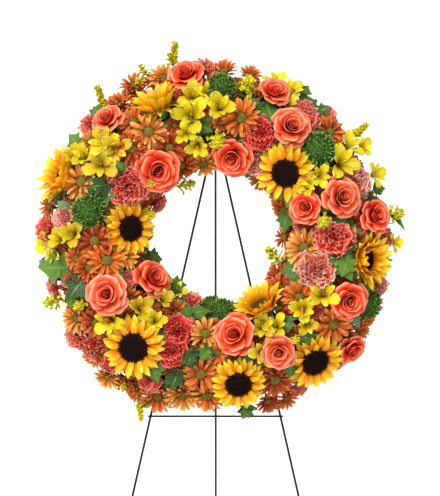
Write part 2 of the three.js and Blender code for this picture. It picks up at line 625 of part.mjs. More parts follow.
const sprays = new Map();
for (const f of flowers) {
  if (!sprays.has(f.nodeKey)) sprays.set(f.nodeKey, []);
  sprays.get(f.nodeKey).push(f);
  addRod([f.centre, f.at(f.branch - 1)], f.stemRadius, f.nodeKey);
}

// Each spray has one root: the first of its stems that reaches the foam clear of all others
const roots = [];
for (const [key, members] of sprays) {
  const path = (f) => [f.at(f.branch), f.at(STEM_TIP)];
  const byDepth = [...members].sort((a, b) => Math.abs(a.over) - Math.abs(b.over));
  const root = byDepth.find((f) => isClear(path(f), f.hole, key)) ?? byDepth[0];
  roots.push(root);
  root.isRoot = true;
  root.branchPath = [root.at(STEM_TIP)];
  addRod(path(root), root.hole, key);
}

// A branch between two stems follows the arch, and swings aside until it clears everything
function branchPath(a, b, swing) {
  const turn = turnBetween(a, b);
  const [across, over] = [turn * RING_RADIUS, (b.over - a.over) * a.branch];
  const length = Math.hypot(across, over);
  const bends = Math.abs(b.over - a.over) / BRANCH_BEND;
  const steps = Math.max(swing ? 2 : 1, Math.ceil(bends), Math.ceil(length / BRANCH_STRETCH));
  const points = [];
  for (let i = 0; i <= steps; i++) {
    const t = i / steps;
    const aside = swing * Math.sin(Math.PI * t) / (length || 1);
    points.push(archPoint(a.clock + turn * t - aside * over / RING_RADIUS,
      a.over + (b.over - a.over) * t + aside * across / a.branch, a.branch));
  }
  return points;
}

const unclear = [];
function growBranches(members, key) {
  const linked = members.filter((f) => f.isRoot);
  const waiting = members.filter((f) => !f.isRoot);
  while (waiting.length) {
    const pairs = linked.flatMap((a) =>
      waiting.map((b) => ({ a, b, far: a.centre.distanceTo(b.centre) })));
    pairs.sort((p, q) => p.far - q.far);
    let found = null;
    for (const { a, b } of pairs.slice(0, PAIRS_TRIED)) {
      for (const swing of SWINGS) {
        const points = branchPath(b, a, swing);
        if (isClear(points, BRANCH_RADIUS, key)) {
          found = { b, points };
          break;
        }
      }
      if (found) break;
    }
    if (!found) {
      found = { b: pairs[0].b, points: branchPath(pairs[0].b, pairs[0].a, 0) };
      unclear.push(key);
    }
    addRod(found.points, BRANCH_RADIUS, key);
    found.b.branchPath = found.points;
    linked.push(found.b);
    waiting.splice(waiting.indexOf(found.b), 1);
  }
}

for (const [key, members] of sprays) growBranches(members, key);
if (unclear.length) throw new Error(`no clear way for a branch of ${unclear}`);

// The object
const wreath = new THREE.Group();
const wreathCentre = onFront(0, -CENTRE_BELOW_HINGE, 0);
wreath.position.copy(wreathCentre);
wreath.rotation.x = -LEAN;
wreath.add(node('ring_tray', tray(), trayPlastic), node('foam_ring', foam(roots), wetFoam));

for (const [key, members] of sprays) {
  const [f] = members;
  if (f.kind.name !== 'sunflower') {
    const heads = members.map((member) => placed(member, flowerForm(member, member.form)));
    wreath.add(node(key, joined(heads), f.kind.material));
    continue;
  }
  wreath.add(node(`${key}_petals`, placed(f, flowerForm(f, f.form)), sunPetal));
  if (!f.isShy) wreath.add(node(`${key}_disc`, placed(f, seedDiscForm(f.radius * FULLNESS)), seedDisc));
}

const easel = new THREE.Group();
easel.add(
  node('front_leg_left', frontLeg(-1), blackWire), node('front_leg_right', frontLeg(1), blackWire),
  node('back_leg', backLeg(), blackWire), node('hinge_pin', hingePin(), blackWire),
  node('crossbar', crossbar(), blackWire), node('top_hook', topHook(), blackWire),
);

const object = new THREE.Group();
object.add(easel, wreath);
const extent = new THREE.Box3().setFromObject(object);
object.position.set(-(extent.min.x + extent.max.x) / 2, -(extent.min.y + extent.max.y) / 2, 0);
const group = new THREE.Group();
group.add(object);

export default group;
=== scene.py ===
# %% [markdown]
# A funeral wreath on a wire easel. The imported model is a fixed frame: its wires, hinge, tray and
# foam are right as they are and only get materials, and every node of faceted flowers is replaced
# by blooms with thin separate petals. Everything is in metres and in the frame's own axes.

# %% Frame
import json
import math
import random

import bmesh
import bpy
from mathutils import Matrix, Vector

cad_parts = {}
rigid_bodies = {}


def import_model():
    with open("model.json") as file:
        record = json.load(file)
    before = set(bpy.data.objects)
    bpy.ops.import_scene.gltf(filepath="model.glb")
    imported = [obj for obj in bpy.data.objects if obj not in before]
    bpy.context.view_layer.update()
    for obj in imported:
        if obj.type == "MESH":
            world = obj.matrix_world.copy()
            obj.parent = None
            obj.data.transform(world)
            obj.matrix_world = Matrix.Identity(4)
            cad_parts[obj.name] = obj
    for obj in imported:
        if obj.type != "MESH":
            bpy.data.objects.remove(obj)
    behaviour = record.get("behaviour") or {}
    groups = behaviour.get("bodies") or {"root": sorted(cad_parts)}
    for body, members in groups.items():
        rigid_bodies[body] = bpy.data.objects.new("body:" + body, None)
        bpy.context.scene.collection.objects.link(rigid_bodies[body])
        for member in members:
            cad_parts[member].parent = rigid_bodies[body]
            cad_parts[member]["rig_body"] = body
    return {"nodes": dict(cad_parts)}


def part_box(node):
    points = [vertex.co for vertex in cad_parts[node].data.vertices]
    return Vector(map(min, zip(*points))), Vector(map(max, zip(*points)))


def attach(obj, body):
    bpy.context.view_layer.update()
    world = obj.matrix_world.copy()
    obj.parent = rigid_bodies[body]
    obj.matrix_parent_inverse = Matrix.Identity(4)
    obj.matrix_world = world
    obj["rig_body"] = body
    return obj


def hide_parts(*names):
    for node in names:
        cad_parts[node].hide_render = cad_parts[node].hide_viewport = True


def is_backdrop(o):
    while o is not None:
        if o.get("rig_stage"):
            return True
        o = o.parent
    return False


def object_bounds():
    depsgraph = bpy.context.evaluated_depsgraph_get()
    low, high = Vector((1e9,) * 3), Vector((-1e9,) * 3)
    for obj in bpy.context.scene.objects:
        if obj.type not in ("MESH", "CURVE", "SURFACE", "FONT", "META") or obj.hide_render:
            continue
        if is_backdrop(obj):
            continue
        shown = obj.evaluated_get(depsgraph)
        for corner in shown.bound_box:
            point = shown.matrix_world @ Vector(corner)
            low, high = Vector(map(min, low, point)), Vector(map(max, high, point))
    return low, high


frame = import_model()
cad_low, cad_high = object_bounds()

MM = 0.001
print("frame:", len(frame["nodes"]), "nodes, box", [round(x, 3) for x in cad_high - cad_low])

# %% [markdown]
# The wreath leans back with the easel's front legs. Its centre is found from the tray, which is
# a flat ring, so the middle of its box is the middle of the tray. From there a flower's place is
# a clock angle, an angle over the arch of flowers and a distance from the foam's centre line.

# %% The wreath's own axes
LEAN = math.radians(10)
ACROSS = Vector((1, 0, 0))
UP = Vector((0, math.sin(LEAN), math.cos(LEAN)))
FRONT = Vector((0, -math.cos(LEAN), math.sin(LEAN)))
RING_RADIUS = 219 * MM
ARCH_DEPTH = 25 * MM
ARCH_RADIUS = 92 * MM
TRAY_MIDDLE = 8.85 * MM  # the middle of the tray's depth, in front of the legs' axes

tray_low, tray_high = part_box("ring_tray")
WREATH_CENTRE = (tray_low + tray_high) / 2 - FRONT * TRAY_MIDDLE


def arch_point(clock, over, away):
    out = RING_RADIUS + away * math.sin(over)
    front = ARCH_DEPTH + away * math.cos(over)
    return WREATH_CENTRE + ACROSS * (out * math.sin(clock)) + UP * (out * math.cos(clock)) + FRONT * front


def outwards(clock):
    """The direction from the wreath's centre towards its rim at a clock angle."""
    return ACROSS * math.sin(clock) + UP * math.cos(clock)


print("wreath centre", [round(x, 4) for x in WREATH_CENTRE])

# %% [markdown]
# The camera looks straight at the leaning wreath, as the photograph does, with a long lens. One
# pixel of the 440 by 496 frame is 1.886 mm at the wreath, which fixes the lens for the distance.

# %% Camera
PIXEL = 1.886 * MM
FRAME_HEIGHT_PIXELS = 496
FRAME_MIDDLE = (220, 248)
WREATH_PIXEL = (215.5, 239)
CAMERA_DISTANCE = 5.0
SENSOR = 36
FARTHEST_SEEN = 200
FACE_DEPTH = 30 * MM  # how far in front of the legs the wreath's outline lies

aim = WREATH_CENTRE + FRONT * FACE_DEPTH
aim = aim + ACROSS * ((FRAME_MIDDLE[0] - WREATH_PIXEL[0]) * PIXEL)
aim = aim - UP * ((FRAME_MIDDLE[1] - WREATH_PIXEL[1]) * PIXEL)
bpy.ops.object.camera_add(location=aim + FRONT * CAMERA_DISTANCE)
camera = bpy.context.object
camera.name = "camera"
camera.rotation_euler = (-FRONT).to_track_quat("-Z", "Y").to_euler()
camera.data.sensor_width = SENSOR
camera.data.lens = SENSOR * CAMERA_DISTANCE / (FRAME_HEIGHT_PIXELS * PIXEL)
camera.data.clip_end = FARTHEST_SEEN
bpy.context.scene.camera = camera
print("lens", round(camera.data.lens, 1), "mm")

# %% [markdown]
# Some small tools for colours and materials come first, because the floor needs them too. A
# material is a tree of nodes, and a node's sockets are either set to a value or fed by another.

# %% Colours and nodes
def linear(code):
    """The linear colour of an sRGB hex code."""
    parts = [int(code[i:i + 2], 16) / 255 for i in (1, 3, 5)]
    return [c / 12.92 if c <= 0.04045 else ((c + 0.055) / 1.055) ** 2.4 for c in parts] + [1.0]


def add_node(tree, kind, settings=None, links=None):
    """Adds a node. Settings are sockets by name or attributes; links are sockets fed by others."""
    made = tree.nodes.new(kind)
    for key, value in (settings or {}).items():
        if hasattr(made, str(key)):
            setattr(made, key, value)
        else:
            made.inputs[key].default_value = value
    for key, source in (links or {}).items():
        tree.links.new(source, made.inputs[key])
    return made


def new_material(name):
    material = bpy.data.materials.new(name)
    material.use_nodes = True
    material.node_tree.nodes.clear()
    return material, material.node_tree


def finish_material(tree, shader):
    add_node(tree, "ShaderNodeOutputMaterial", links={"Surface": shader.outputs[0]})


print("colour and node tools ready")

# %% [markdown]
# The photograph has a white ground and soft light from all round, a little stronger from the
# upper left. A white floor and a white sky give the ground; one broad distant light from the upper
# left models the petals and lights the floor evenly to the horizon.

# %% Light and floor
SKY_STRENGTH = 0.72
SUN_STRENGTH = 3.9
SUN_ANGLE = math.radians(28)
SUN_DIRECTION = Vector((0.45, 0.72, -0.85))
FLOOR_SIZE = 160
world = bpy.data.worlds.new("white_sky")
world.use_nodes = True
sky = world.node_tree.nodes["Background"]
sky.inputs["Color"].default_value = linear("#FFFFFF")
seen = add_node(world.node_tree, "ShaderNodeLightPath").outputs["Is Camera Ray"]
strength = add_node(world.node_tree, "ShaderNodeMapRange", {"To Min": SKY_STRENGTH, "To Max": 1.0},
                    {"Value": seen})
world.node_tree.links.new(strength.outputs[0], sky.inputs["Strength"])
bpy.context.scene.world = world
bpy.context.scene.view_settings.view_transform = "Standard"

bpy.ops.mesh.primitive_plane_add(size=FLOOR_SIZE)
floor = bpy.context.object
floor.name = "floor"
floor_paint, tree = new_material("white_painted_floor")
shader = add_node(tree, "ShaderNodeBsdfPrincipled", {"Base Color": linear("#FDFDFD"), "Roughness": 0.9})
finish_material(tree, shader)
floor.data.materials.append(floor_paint)
floor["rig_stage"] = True

bpy.ops.object.light_add(type="SUN")
sun = bpy.context.object
sun.name = "soft_studio_light"
sun.data.energy = SUN_STRENGTH
sun.data.angle = SUN_ANGLE
sun.rotation_euler = SUN_DIRECTION.to_track_quat("-Z", "Y").to_euler()
print("sky, floor and one broad light")

# %% [markdown]
# The planting plan says where each bloom stands: clock angle in degrees, distance from the
# wreath's centre and head radius in millimetres, as read off the photograph. The packed
# model was planted from the same plan, so each finer bloom lands on its faceted one.

# %% Planting plan
SUNFLOWERS = [
    (292, 305, 57), (277, 162, 50), (217, 251, 57), (171, 271, 51), (47, 180, 55),
    (141, 292, 55), (98, 290, 55), (337, 268, 46), (145, 158, 49),
]
ROSES = [
    (350, 300, 32), (318, 290, 28), (320, 172, 36), (12, 162, 33), (22, 285, 28), (34, 247, 33),
    (72, 243, 34), (71, 182, 28), (82, 292, 30), (115, 267, 32), (169, 186, 34), (243, 224, 35),
    (237, 147, 32), (151, 238, 29), (129, 318, 27),
]
CARNATIONS = [
    (300, 188, 36), (301, 129, 20), (278, 283, 23), (273, 316, 25), (22, 213, 32), (29, 159, 24),
    (36, 281, 30), (68, 287, 27), (89, 218, 36), (108, 195, 37), (90, 314, 23), (203, 188, 28),
    (202, 227, 27), (201, 125, 22), (235, 320, 23), (227, 308, 28), (253, 316, 20), (151, 319, 19),
    (356, 318, 24), (42, 311, 19), (312, 317, 21), (205, 292, 22), (106, 318, 19),
]
DAISIES = [
    (342, 321, 28), (332, 330, 26), (325, 312, 26), (325, 268, 26), (328, 235, 32), (317, 229, 30),
    (333, 187, 30), (335, 148, 26), (351, 139, 26), (12, 230, 34), (3, 319, 25), (12, 318, 21),
    (47, 296, 30), (308, 300, 25), (293, 273, 34), (269, 224, 32), (259, 205, 34), (257, 241, 25),
    (259, 168, 23), (281, 320, 23), (262, 264, 21), (240, 302, 28), (235, 273, 30), (218, 332, 25),
    (209, 313, 28), (200, 319, 32), (192, 301, 32), (183, 296, 34), (186, 254, 32), (186, 176, 28),
    (179, 213, 19), (157, 288, 34), (162, 323, 26), (156, 331, 23), (128, 150, 28), (125, 189, 30),
    (136, 167, 23), (121, 133, 25), (96, 164, 34), (67, 136, 26), (89, 125, 21), (126, 273, 34),
    (235, 192, 19), (119, 319, 17),
]
LILIES = [
    (351, 265, 21), (349, 233, 25), (357, 268, 17), (2, 242, 23), (349, 179, 19), (344, 204, 15),
    (311, 271, 23), (312, 246, 21), (303, 250, 23), (300, 299, 19), (302, 284, 19), (21, 311, 19),
    (27, 305, 21), (28, 281, 15), (55, 300, 21), (58, 318, 17), (59, 271, 25), (59, 225, 17),
    (60, 198, 15), (68, 317, 19), (272, 261, 21), (270, 286, 17), (268, 312, 19), (265, 298, 17),
    (233, 246, 23), (227, 191, 21), (216, 190, 17), (218, 131, 17), (221, 154, 17), (151, 184, 21),
    (145, 198, 17), (117, 224, 23), (129, 209, 21), (133, 231, 17), (157, 228, 21), (91, 329, 15),
]
GOLDENRODS = [
    (347, 352, 26), (337, 339, 20), (320, 331, 26), (12, 283, 25), (1, 187, 22), (311, 168, 17),
    (329, 121, 17), (290, 143, 18), (249, 313, 23), (244, 274, 17), (81, 205, 19), (82, 329, 21),
    (108, 124, 20), (53, 327, 24), (204, 352, 24),
]
LEAVES = [
    (318, 325, 17), (305, 321, 17), (294, 240, 21), (285, 304, 15),
    (260, 302, 28), (262, 323, 15), (250, 272, 23), (253, 123, 19), (220, 113, 17), (193, 143, 19),
    (205, 268, 21), (196, 272, 17), (192, 228, 17), (165, 224, 17), (150, 275, 17),
    (170, 330, 15), (61, 161, 17), (76, 137, 19), (78, 302, 17), (102, 244, 25),
    (120, 299, 15), (31, 323, 15), (85, 345, 19), (97, 322, 14),
]
GREEN_BALLS = [
    (2, 281, 28), (49, 252, 32), (282, 240, 31), (174, 138, 26), (183, 128, 22), (113, 312, 27),
]
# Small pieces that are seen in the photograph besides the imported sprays
SMALL_SPRIGS = [(334, 315, 14), (142, 236, 12), (212, 312, 14), (346, 338, 15), (20, 300, 12)]
SMALL_LEAVES = [
    (307, 221, 13), (282, 287, 15), (201, 151, 13), (185, 214, 15), (140, 208, 13), (137, 252, 11),
    (81, 236, 13), (109, 294, 11), (35, 309, 15), (40, 315, 13), (347, 219, 13), (87, 256, 13),
    (73, 321, 11), (203, 337, 9), (247, 290, 14), (216, 222, 12), (16, 262, 12), (64, 250, 12),
]
print(sum(map(len, (SUNFLOWERS, ROSES, CARNATIONS, DAISIES, LILIES, GOLDENRODS))), "blooms planned")

# %% [markdown]
# Each tone is a pair of colours, for the body of a petal and for its paler edge. A bloom that is
# listed under no tone, by its clock angle and distance, has the first tone of its kind.

# %% Tones of the blooms
TONE_CODES = {
    "sunflower": ("#FFAC0A", "#FFDA2E"),
    # For the roses, coral and soft_coral, the paler second colour is a painted highlight along the petals'
    # rolled lips
    "coral": ("#F44C24", "#FF9E78"),
    "soft_coral": ("#F05E34", "#FCA482"),
    "red_coral": ("#FA4C38", "#FFB49E"),
    "pale_coral": ("#FC7A5C", "#FFDECE"),
    "deep_red": ("#EC3830", "#FF8A7A"),
    "bronze": ("#D06018", "#EE9440"),
    "golden": ("#E48A2A", "#FCC870"),
    "orange": ("#DE6E1C", "#F69C44"),
    "rust": ("#B84614", "#DE7030"),
    "yellow": ("#F0D816", "#FAEE48"),
    "old_gold": ("#E6C626", "#F2E052"),
    "green_gold": ("#DACE18", "#F0EA48"),
    "ivy": ("#38601A", "#527A28"),
    "light_leaf": ("#4E7A22", "#6E9236"),
    "dark_leaf": ("#1C360A", "#2E4E14"),
    "silver_leaf": ("#56745A", "#7C9A80"),
    "moss_green": ("#4C7424", "#A6C866"),
}
FIRST_TONE = {
    "sunflower": "sunflower", "roses": "coral", "carnations": "red_coral", "daisies": "bronze",
    "alstroemeria": "yellow", "goldenrod": "green_gold", "greenery": "ivy",
}
TONES = {
    "golden": [(328, 235), (351, 139), (293, 273), (259, 168), (240, 302), (218, 332), (186, 176),
               (96, 164), (342, 321), (308, 300), (192, 301)],
    "orange": [(12, 230), (259, 205), (125, 189), (126, 273), (183, 296), (200, 319)],
    "rust": [(317, 229), (333, 187), (335, 148), (269, 224), (257, 241), (235, 273), (157, 288),
             (162, 323), (128, 150), (136, 167), (121, 133), (89, 125)],
    "soft_coral": [(318, 290), (34, 247), (72, 243), (243, 224), (151, 238)],
    "pale_coral": [(29, 159), (108, 195), (106, 318), (68, 287), (278, 283)],
    "deep_red": [(202, 227), (203, 188), (22, 213)],
    "old_gold": [(265, 298), (312, 246), (303, 250), (272, 261), (221, 154), (157, 228), (133, 231),
                 (28, 281), (227, 191), (151, 184)],
    "light_leaf": [(260, 302), (61, 161), (85, 345), (97, 322), (305, 321), (102, 244)],
    "dark_leaf": [(294, 240), (192, 228), (165, 224), (196, 272), (250, 272)],
    "silver_leaf": [(285, 304), (262, 323), (282, 287), (120, 299)],
}
print(len(TONE_CODES), "tones")

# %% [markdown]
# A florist pushes each stem towards the foam's centre line, so a bloom faces straight out from
# the arch. Big heads press their neighbours aside until they only touch. The blooms of a kind are
# grouped into sprays at the widest gaps on the way round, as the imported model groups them.

# %% Settling the blooms
# A bloom past the arch's side, where the sine of its angle would be more than STEEPEST, leans on
# over it by OVERHANG_STEP for each unit more, up to OVERHANG
STEEPEST = 0.96
OVERHANG = math.radians(84)
OVERHANG_STEP = 0.5
NEIGHBOUR_TURN = 0.6  # blooms further apart than this on the clock, in radians, never touch
SETTLING_ROUNDS = 40
ROOM_BETWEEN = 4 * MM
# Each kind: its plan, its number of sprays, and the part of a head's radius that keeps its room
KIND_PLANS = [
    ("sunflower", SUNFLOWERS, 9, 0.62), ("roses", ROSES, 6, 0.5), ("carnations", CARNATIONS, 7, 0.4),
    ("daisies", DAISIES, 9, 0.4), ("alstroemeria", LILIES, 6, 0.4), ("goldenrod", GOLDENRODS, 5, 0.4),
    ("greenery", LEAVES + GREEN_BALLS, 6, 0.4),
]


def planned(kind, plan, firm=0.4):
    """One bloom as a dict: where it stands on the arch, its radius and its tone."""
    degrees, distance, radius = plan
    rise = (distance * MM - RING_RADIUS) / ARCH_RADIUS
    over, away = math.asin(max(-STEEPEST, min(STEEPEST, rise))), ARCH_RADIUS
    if abs(rise) > STEEPEST:
        over = math.copysign(min(OVERHANG, abs(over) + (abs(rise) - STEEPEST) * OVERHANG_STEP), rise)
        away = (distance * MM - RING_RADIUS) / math.sin(over)
    tone = next((t for t, spots in TONES.items() if (degrees, distance) in spots), FIRST_TONE[kind])
    return {"kind": kind, "plan": plan, "clock": math.radians(degrees), "over": over, "away": away,
            "radius": radius * MM, "firm": firm, "tone": tone}


def head_point(bloom):
    return arch_point(bloom["clock"], bloom["over"], bloom["away"])


def turn_between(a, b):
    return (b["clock"] - a["clock"] + math.pi) % (2 * math.pi) - math.pi


blooms = []
for kind, plans, spray_count, firm in KIND_PLANS:
    own = sorted((planned(kind, plan, firm) for plan in plans), key=lambda b: b["clock"])
    gaps = [b["clock"] - own[i - 1]["clock"] + (0 if i else 2 * math.pi) for i, b in enumerate(own)]
    starts = sorted(range(len(own)), key=lambda i: -gaps[i])[:spray_count]
    for i, bloom in enumerate(own):
        bloom["spray"] = (sum(start <= i for start in starts) + spray_count - 1) % spray_count + 1
    blooms += own

for _ in range(SETTLING_ROUNDS):
    for i, a in enumerate(blooms):
        for b in blooms[i + 1:]:
            wanted = a["firm"] * a["radius"] + b["firm"] * b["radius"] + ROOM_BETWEEN
            if abs(turn_between(a, b)) > NEIGHBOUR_TURN:
                continue
            short = wanted - (head_point(a) - head_point(b)).length
            if short <= 0:
                continue
            share = b["radius"] / (a["radius"] + b["radius"])
            out = RING_RADIUS + ARCH_RADIUS * math.sin(a["over"])
            across, over = turn_between(a, b) * out, (b["over"] - a["over"]) * ARCH_RADIUS
            length = math.hypot(across, over) or 1
            a["clock"] -= short * share * across / length / out
            b["clock"] += short * (1 - share) * across / length / out
            a["over"] -= short * share * over / length / ARCH_RADIUS
            b["over"] += short * (1 - share) * over / length / ARCH_RADIUS
print(len(blooms), "blooms and leaves settled")

# %% [markdown]
# A petal is cut from a flat grid, as a petal is a thin sheet: each row of the grid is drawn in to
# its width, moved to its place along the petal and lifted, then its outer columns are raised for
# the cup. Rose petals are then bent round the flower's axis. Petals stand up from their base.

# %% Cutting a petal
def painted(thing, material):
    thing.data.materials.clear()
    thing.data.materials.append(material)
    return thing


def add_petal(name, material, rows, columns=4, bend=0, ruffle=0, teeth=0, smooth=0):
    """A sheet shaped row by row; rows hold (along, half width, lift, cup), base first."""
    steps = len(rows) - 1
    bpy.ops.object.select_all(action="DESELECT")
    bpy.ops.mesh.primitive_grid_add(x_subdivisions=columns, y_subdivisions=steps, size=2)
    petal = painted(bpy.context.object, material)
    petal.name = name
    corners = [v.co for v in petal.data.vertices]
    spots = [(round((co.x + 1) * columns / 2), round((co.y + 1) * steps / 2)) for co in corners]
    bpy.ops.object.mode_set(mode="EDIT")

    def move(chosen, value):
        mesh = bmesh.from_edit_mesh(petal.data)
        for vertex in mesh.verts:
            vertex.select_set(chosen(*spots[vertex.index]))
        mesh.select_flush(True)
        bpy.ops.transform.translate(value=value)

    for number, (along, half, lift, cup) in enumerate(rows):
        start = 2 * number / steps - 1
        move(lambda column, row: row == number, (0, along - start, lift))
        bpy.ops.transform.resize(value=(half, 1, 1), center_override=(0, along, lift))
        for side in range(1, columns // 2 + 1):
            rise = cup * (2 * side / columns) ** 2
            pair = (columns // 2 - side, columns // 2 + side)
            if rise:
                move(lambda column, row: row == number and column in pair, (0, 0, rise))
    if ruffle or teeth:
        move(lambda column, row: row >= steps - 1 and column % 2, (0, 0, ruffle))
        move(lambda column, row: row == steps and column % 2, (0, teeth, ruffle))
    bpy.ops.object.mode_set(mode="OBJECT")
    petal.data.transform(Matrix.Rotation(math.pi / 2, 4, "X"))
    if smooth:
        rounder = petal.modifiers.new("rounder", "SUBSURF")
        rounder.levels = smooth
        bpy.ops.object.modifier_apply(modifier=rounder.name)
    if bend:
        bender = petal.modifiers.new("bender", "SIMPLE_DEFORM")
        bender.deform_method = "BEND"
        bender.deform_axis = "Z"
        bender.angle = math.radians(bend)
        bpy.ops.object.modifier_apply(modifier=bender.name)
    return petal


print("petals can be cut")

# %% [markdown]
# Copies of a petal get meshes of their own and are joined into blooms, and copies of a bloom into
# sprays. Every copied petal is marked with a shade of its own and with its depth in the bloom,
# which its material reads; every copied bloom is marked with its pair of colours.

# %% Copying and joining
SHADES = random.Random(7)


def copy_of(model, matrix, depth=0.0, colours=None):
    """A copy placed by a matrix and marked with shade and depth, or else with two colours."""
    mesh = model.data.copy()
    mesh.transform(matrix)
    if matrix.determinant() < 0:
        mesh.flip_normals()
    copy = bpy.data.objects.new(model.name + "_copy", mesh)
    bpy.context.collection.objects.link(copy)
    count = len(mesh.vertices)
    if colours is None:
        marks = {"petal_shade": SHADES.random(), "petal_depth": depth}
        for key, value in marks.items():
            mark = mesh.attributes.new(key, "FLOAT", "POINT")
            mark.data.foreach_set("value", [value] * count)
    else:
        for key, code in zip(("body_colour", "edge_colour"), colours):
            mark = mesh.attributes.new(key, "FLOAT_COLOR", "POINT")
            mark.data.foreach_set("color", linear(code) * count)
    return copy


def joined(name, parts):
    bpy.ops.object.select_all(action="DESELECT")
    for part in parts:
        part.select_set(True)
    bpy.context.view_layer.objects.active = parts[0]
    if len(parts) > 1:
        bpy.ops.object.join()
    whole = bpy.context.object
    whole.name = whole.data.name = name
    bpy.ops.object.shade_smooth()
    return whole


def faces(thing):
    return len(thing.data.polygons)


print("copying tools ready")

# %% [markdown]
# Two small matrices place every petal and floret: one stands a petal on a ring round the bloom's
# axis and leans it out, the other lays a thing's +Z along a direction. Ray flowers have whole
# rows of such petals, each a little out of true, as no two petals grow alike.

# %% Placing petals
GOLDEN_TURN = math.radians(137.508)


def ring_matrix(angle, radius, height, tilt, size, roll=0.0):
    """Where a petal goes in a unit bloom: it leans out by tilt from the bloom's axis, +Z."""
    return (Matrix.Rotation(angle, 4, "Z") @ Matrix.Translation((0, radius, height))
            @ Matrix.Rotation(-math.radians(tilt), 4, "X") @ Matrix.Rotation(math.radians(roll), 4, "Z")
            @ Matrix.Scale(size, 4))


def laid_along(direction):
    return direction.to_track_quat("Z", "Y").to_matrix().to_4x4()


def petal_rows(seed, petal, rows, radius, row_turn, turn_play, tilt_play, depths):
    """Rows of copies round a bloom; each row holds its number of petals, tilt, size and height."""
    chance = random.Random(seed)
    parts = []
    for row, (count, row_tilt, row_size, height) in enumerate(rows):
        for i in range(count):
            turn = (i + row_turn * row) * 2 * math.pi / count + chance.uniform(-turn_play, turn_play)
            tilt = row_tilt + chance.uniform(-tilt_play, tilt_play)
            size = row_size * chance.uniform(0.90, 1.05)
            place = ring_matrix(turn, radius, height, tilt, size, chance.uniform(-16, 16))
            parts.append(copy_of(petal, place, depths[row]))
    return parts


print("placing tools ready")

# %% [markdown]
# Petals glow a little where light comes through them, so each petal material mixes a plain
# reflecting surface with some light let through. The colour runs from the bloom's own tone to a
# paler edge, with fine lengthwise veins, and each petal is a little lighter or darker.

# %% Tools for materials
def feed(tree, socket, value):
    """Links a socket to another one, or sets it to a plain value."""
    if isinstance(value, bpy.types.NodeSocket):
        tree.links.new(value, socket)
    else:
        socket.default_value = value


def mix_colours(tree, factor, first, second, kind="MIX"):
    node = add_node(tree, "ShaderNodeMix", {"data_type": "RGBA", "blend_type": kind})
    for number, value in ((0, factor), (6, first), (7, second)):
        feed(tree, node.inputs[number], value)
    return node.outputs[2]


def worked_out(tree, operation, first, second=0.0):
    node = add_node(tree, "ShaderNodeMath", {"operation": operation})
    feed(tree, node.inputs[0], first)
    feed(tree, node.inputs[1], second)
    return node.outputs[0]


def mapped(tree, source, low, high, out_low=0.0, out_high=1.0):
    node = add_node(tree, "ShaderNodeMapRange", {"interpolation_type": "SMOOTHSTEP", "From Min": low,
                    "From Max": high, "To Min": out_low, "To Max": out_high}, {"Value": source})
    return node.outputs[0]


def attribute(tree, name, output):
    return add_node(tree, "ShaderNodeAttribute", {"attribute_name": name}).outputs[output]


def darkened(tree, colour, amount):
    grey = add_node(tree, "ShaderNodeCombineColor", links={0: amount, 1: amount, 2: amount}).outputs[0]
    return mix_colours(tree, 1.0, colour, grey, "MULTIPLY")


def reflecting(tree, colour, roughness, shine, heights, strength, depth):
    """A plain reflecting surface whose relief follows a pattern of heights."""
    relief = add_node(tree, "ShaderNodeBump", {"Strength": strength, "Distance": depth}, {"Height": heights})
    return add_node(tree, "ShaderNodeBsdfPrincipled", {"Roughness": roughness, "Specular IOR Level": shine},
                    {"Base Color": colour, "Normal": relief.outputs[0]})


print("material tools ready")

# %% [markdown]
# The petal's pattern follows its UV map: y runs from the foot to the tip and x across. Flecks
# are small spots in the middle of a petal, and ribs are the pale net of a leaf.

# %% The petal material
FLECKS_ACROSS_AND_ALONG = (7, 14, 1)
RIB_SPACING = 0.09
DARKEST_AND_LIGHTEST_PETAL = (0.78, 1.12)
PETAL_SHINE = 0.22
VEIN_DEPTH = 0.4 * MM


def fleck_amount(tree, uv, along):
    """How much of the flecks shows: spots on the inner tepals' middle, none on the outer ones."""
    spots = add_node(tree, "ShaderNodeMapping", {"Scale": FLECKS_ACROSS_AND_ALONG}, {"Vector": uv})
    cells = add_node(tree, "ShaderNodeTexVoronoi", {"Scale": 1.0}, {"Vector": spots.outputs[0]})
    fleck = mapped(tree, cells.outputs["Distance"], 0.22, 0.32, 1.0, 0.0)
    band = mapped(tree, along, 0.70, 0.82, 1.0, 0.0)
    inner = mapped(tree, attribute(tree, "petal_depth", "Fac"), 0.4, 0.6, 1.0, 0.0)
    return worked_out(tree, "MULTIPLY", worked_out(tree, "MULTIPLY", fleck, band), inner)


def rib_amount(tree, uv, along):
    """How much of a leaf's pale ribs shows: one up the middle and slanting ones to both sides."""
    across = add_node(tree, "ShaderNodeSeparateXYZ", links={0: uv}).outputs[0]
    aside = worked_out(tree, "ABSOLUTE", worked_out(tree, "SUBTRACT", across, 0.5))
    slanting = worked_out(tree, "PINGPONG", worked_out(tree, "SUBTRACT", along, aside), RIB_SPACING)
    middle_rib = mapped(tree, aside, 0.015, 0.045, 0.9, 0.0)
    side_ribs = mapped(tree, slanting, 0.004, 0.018, 0.6, 0.0)
    return worked_out(tree, "MAXIMUM", middle_rib, side_ribs)


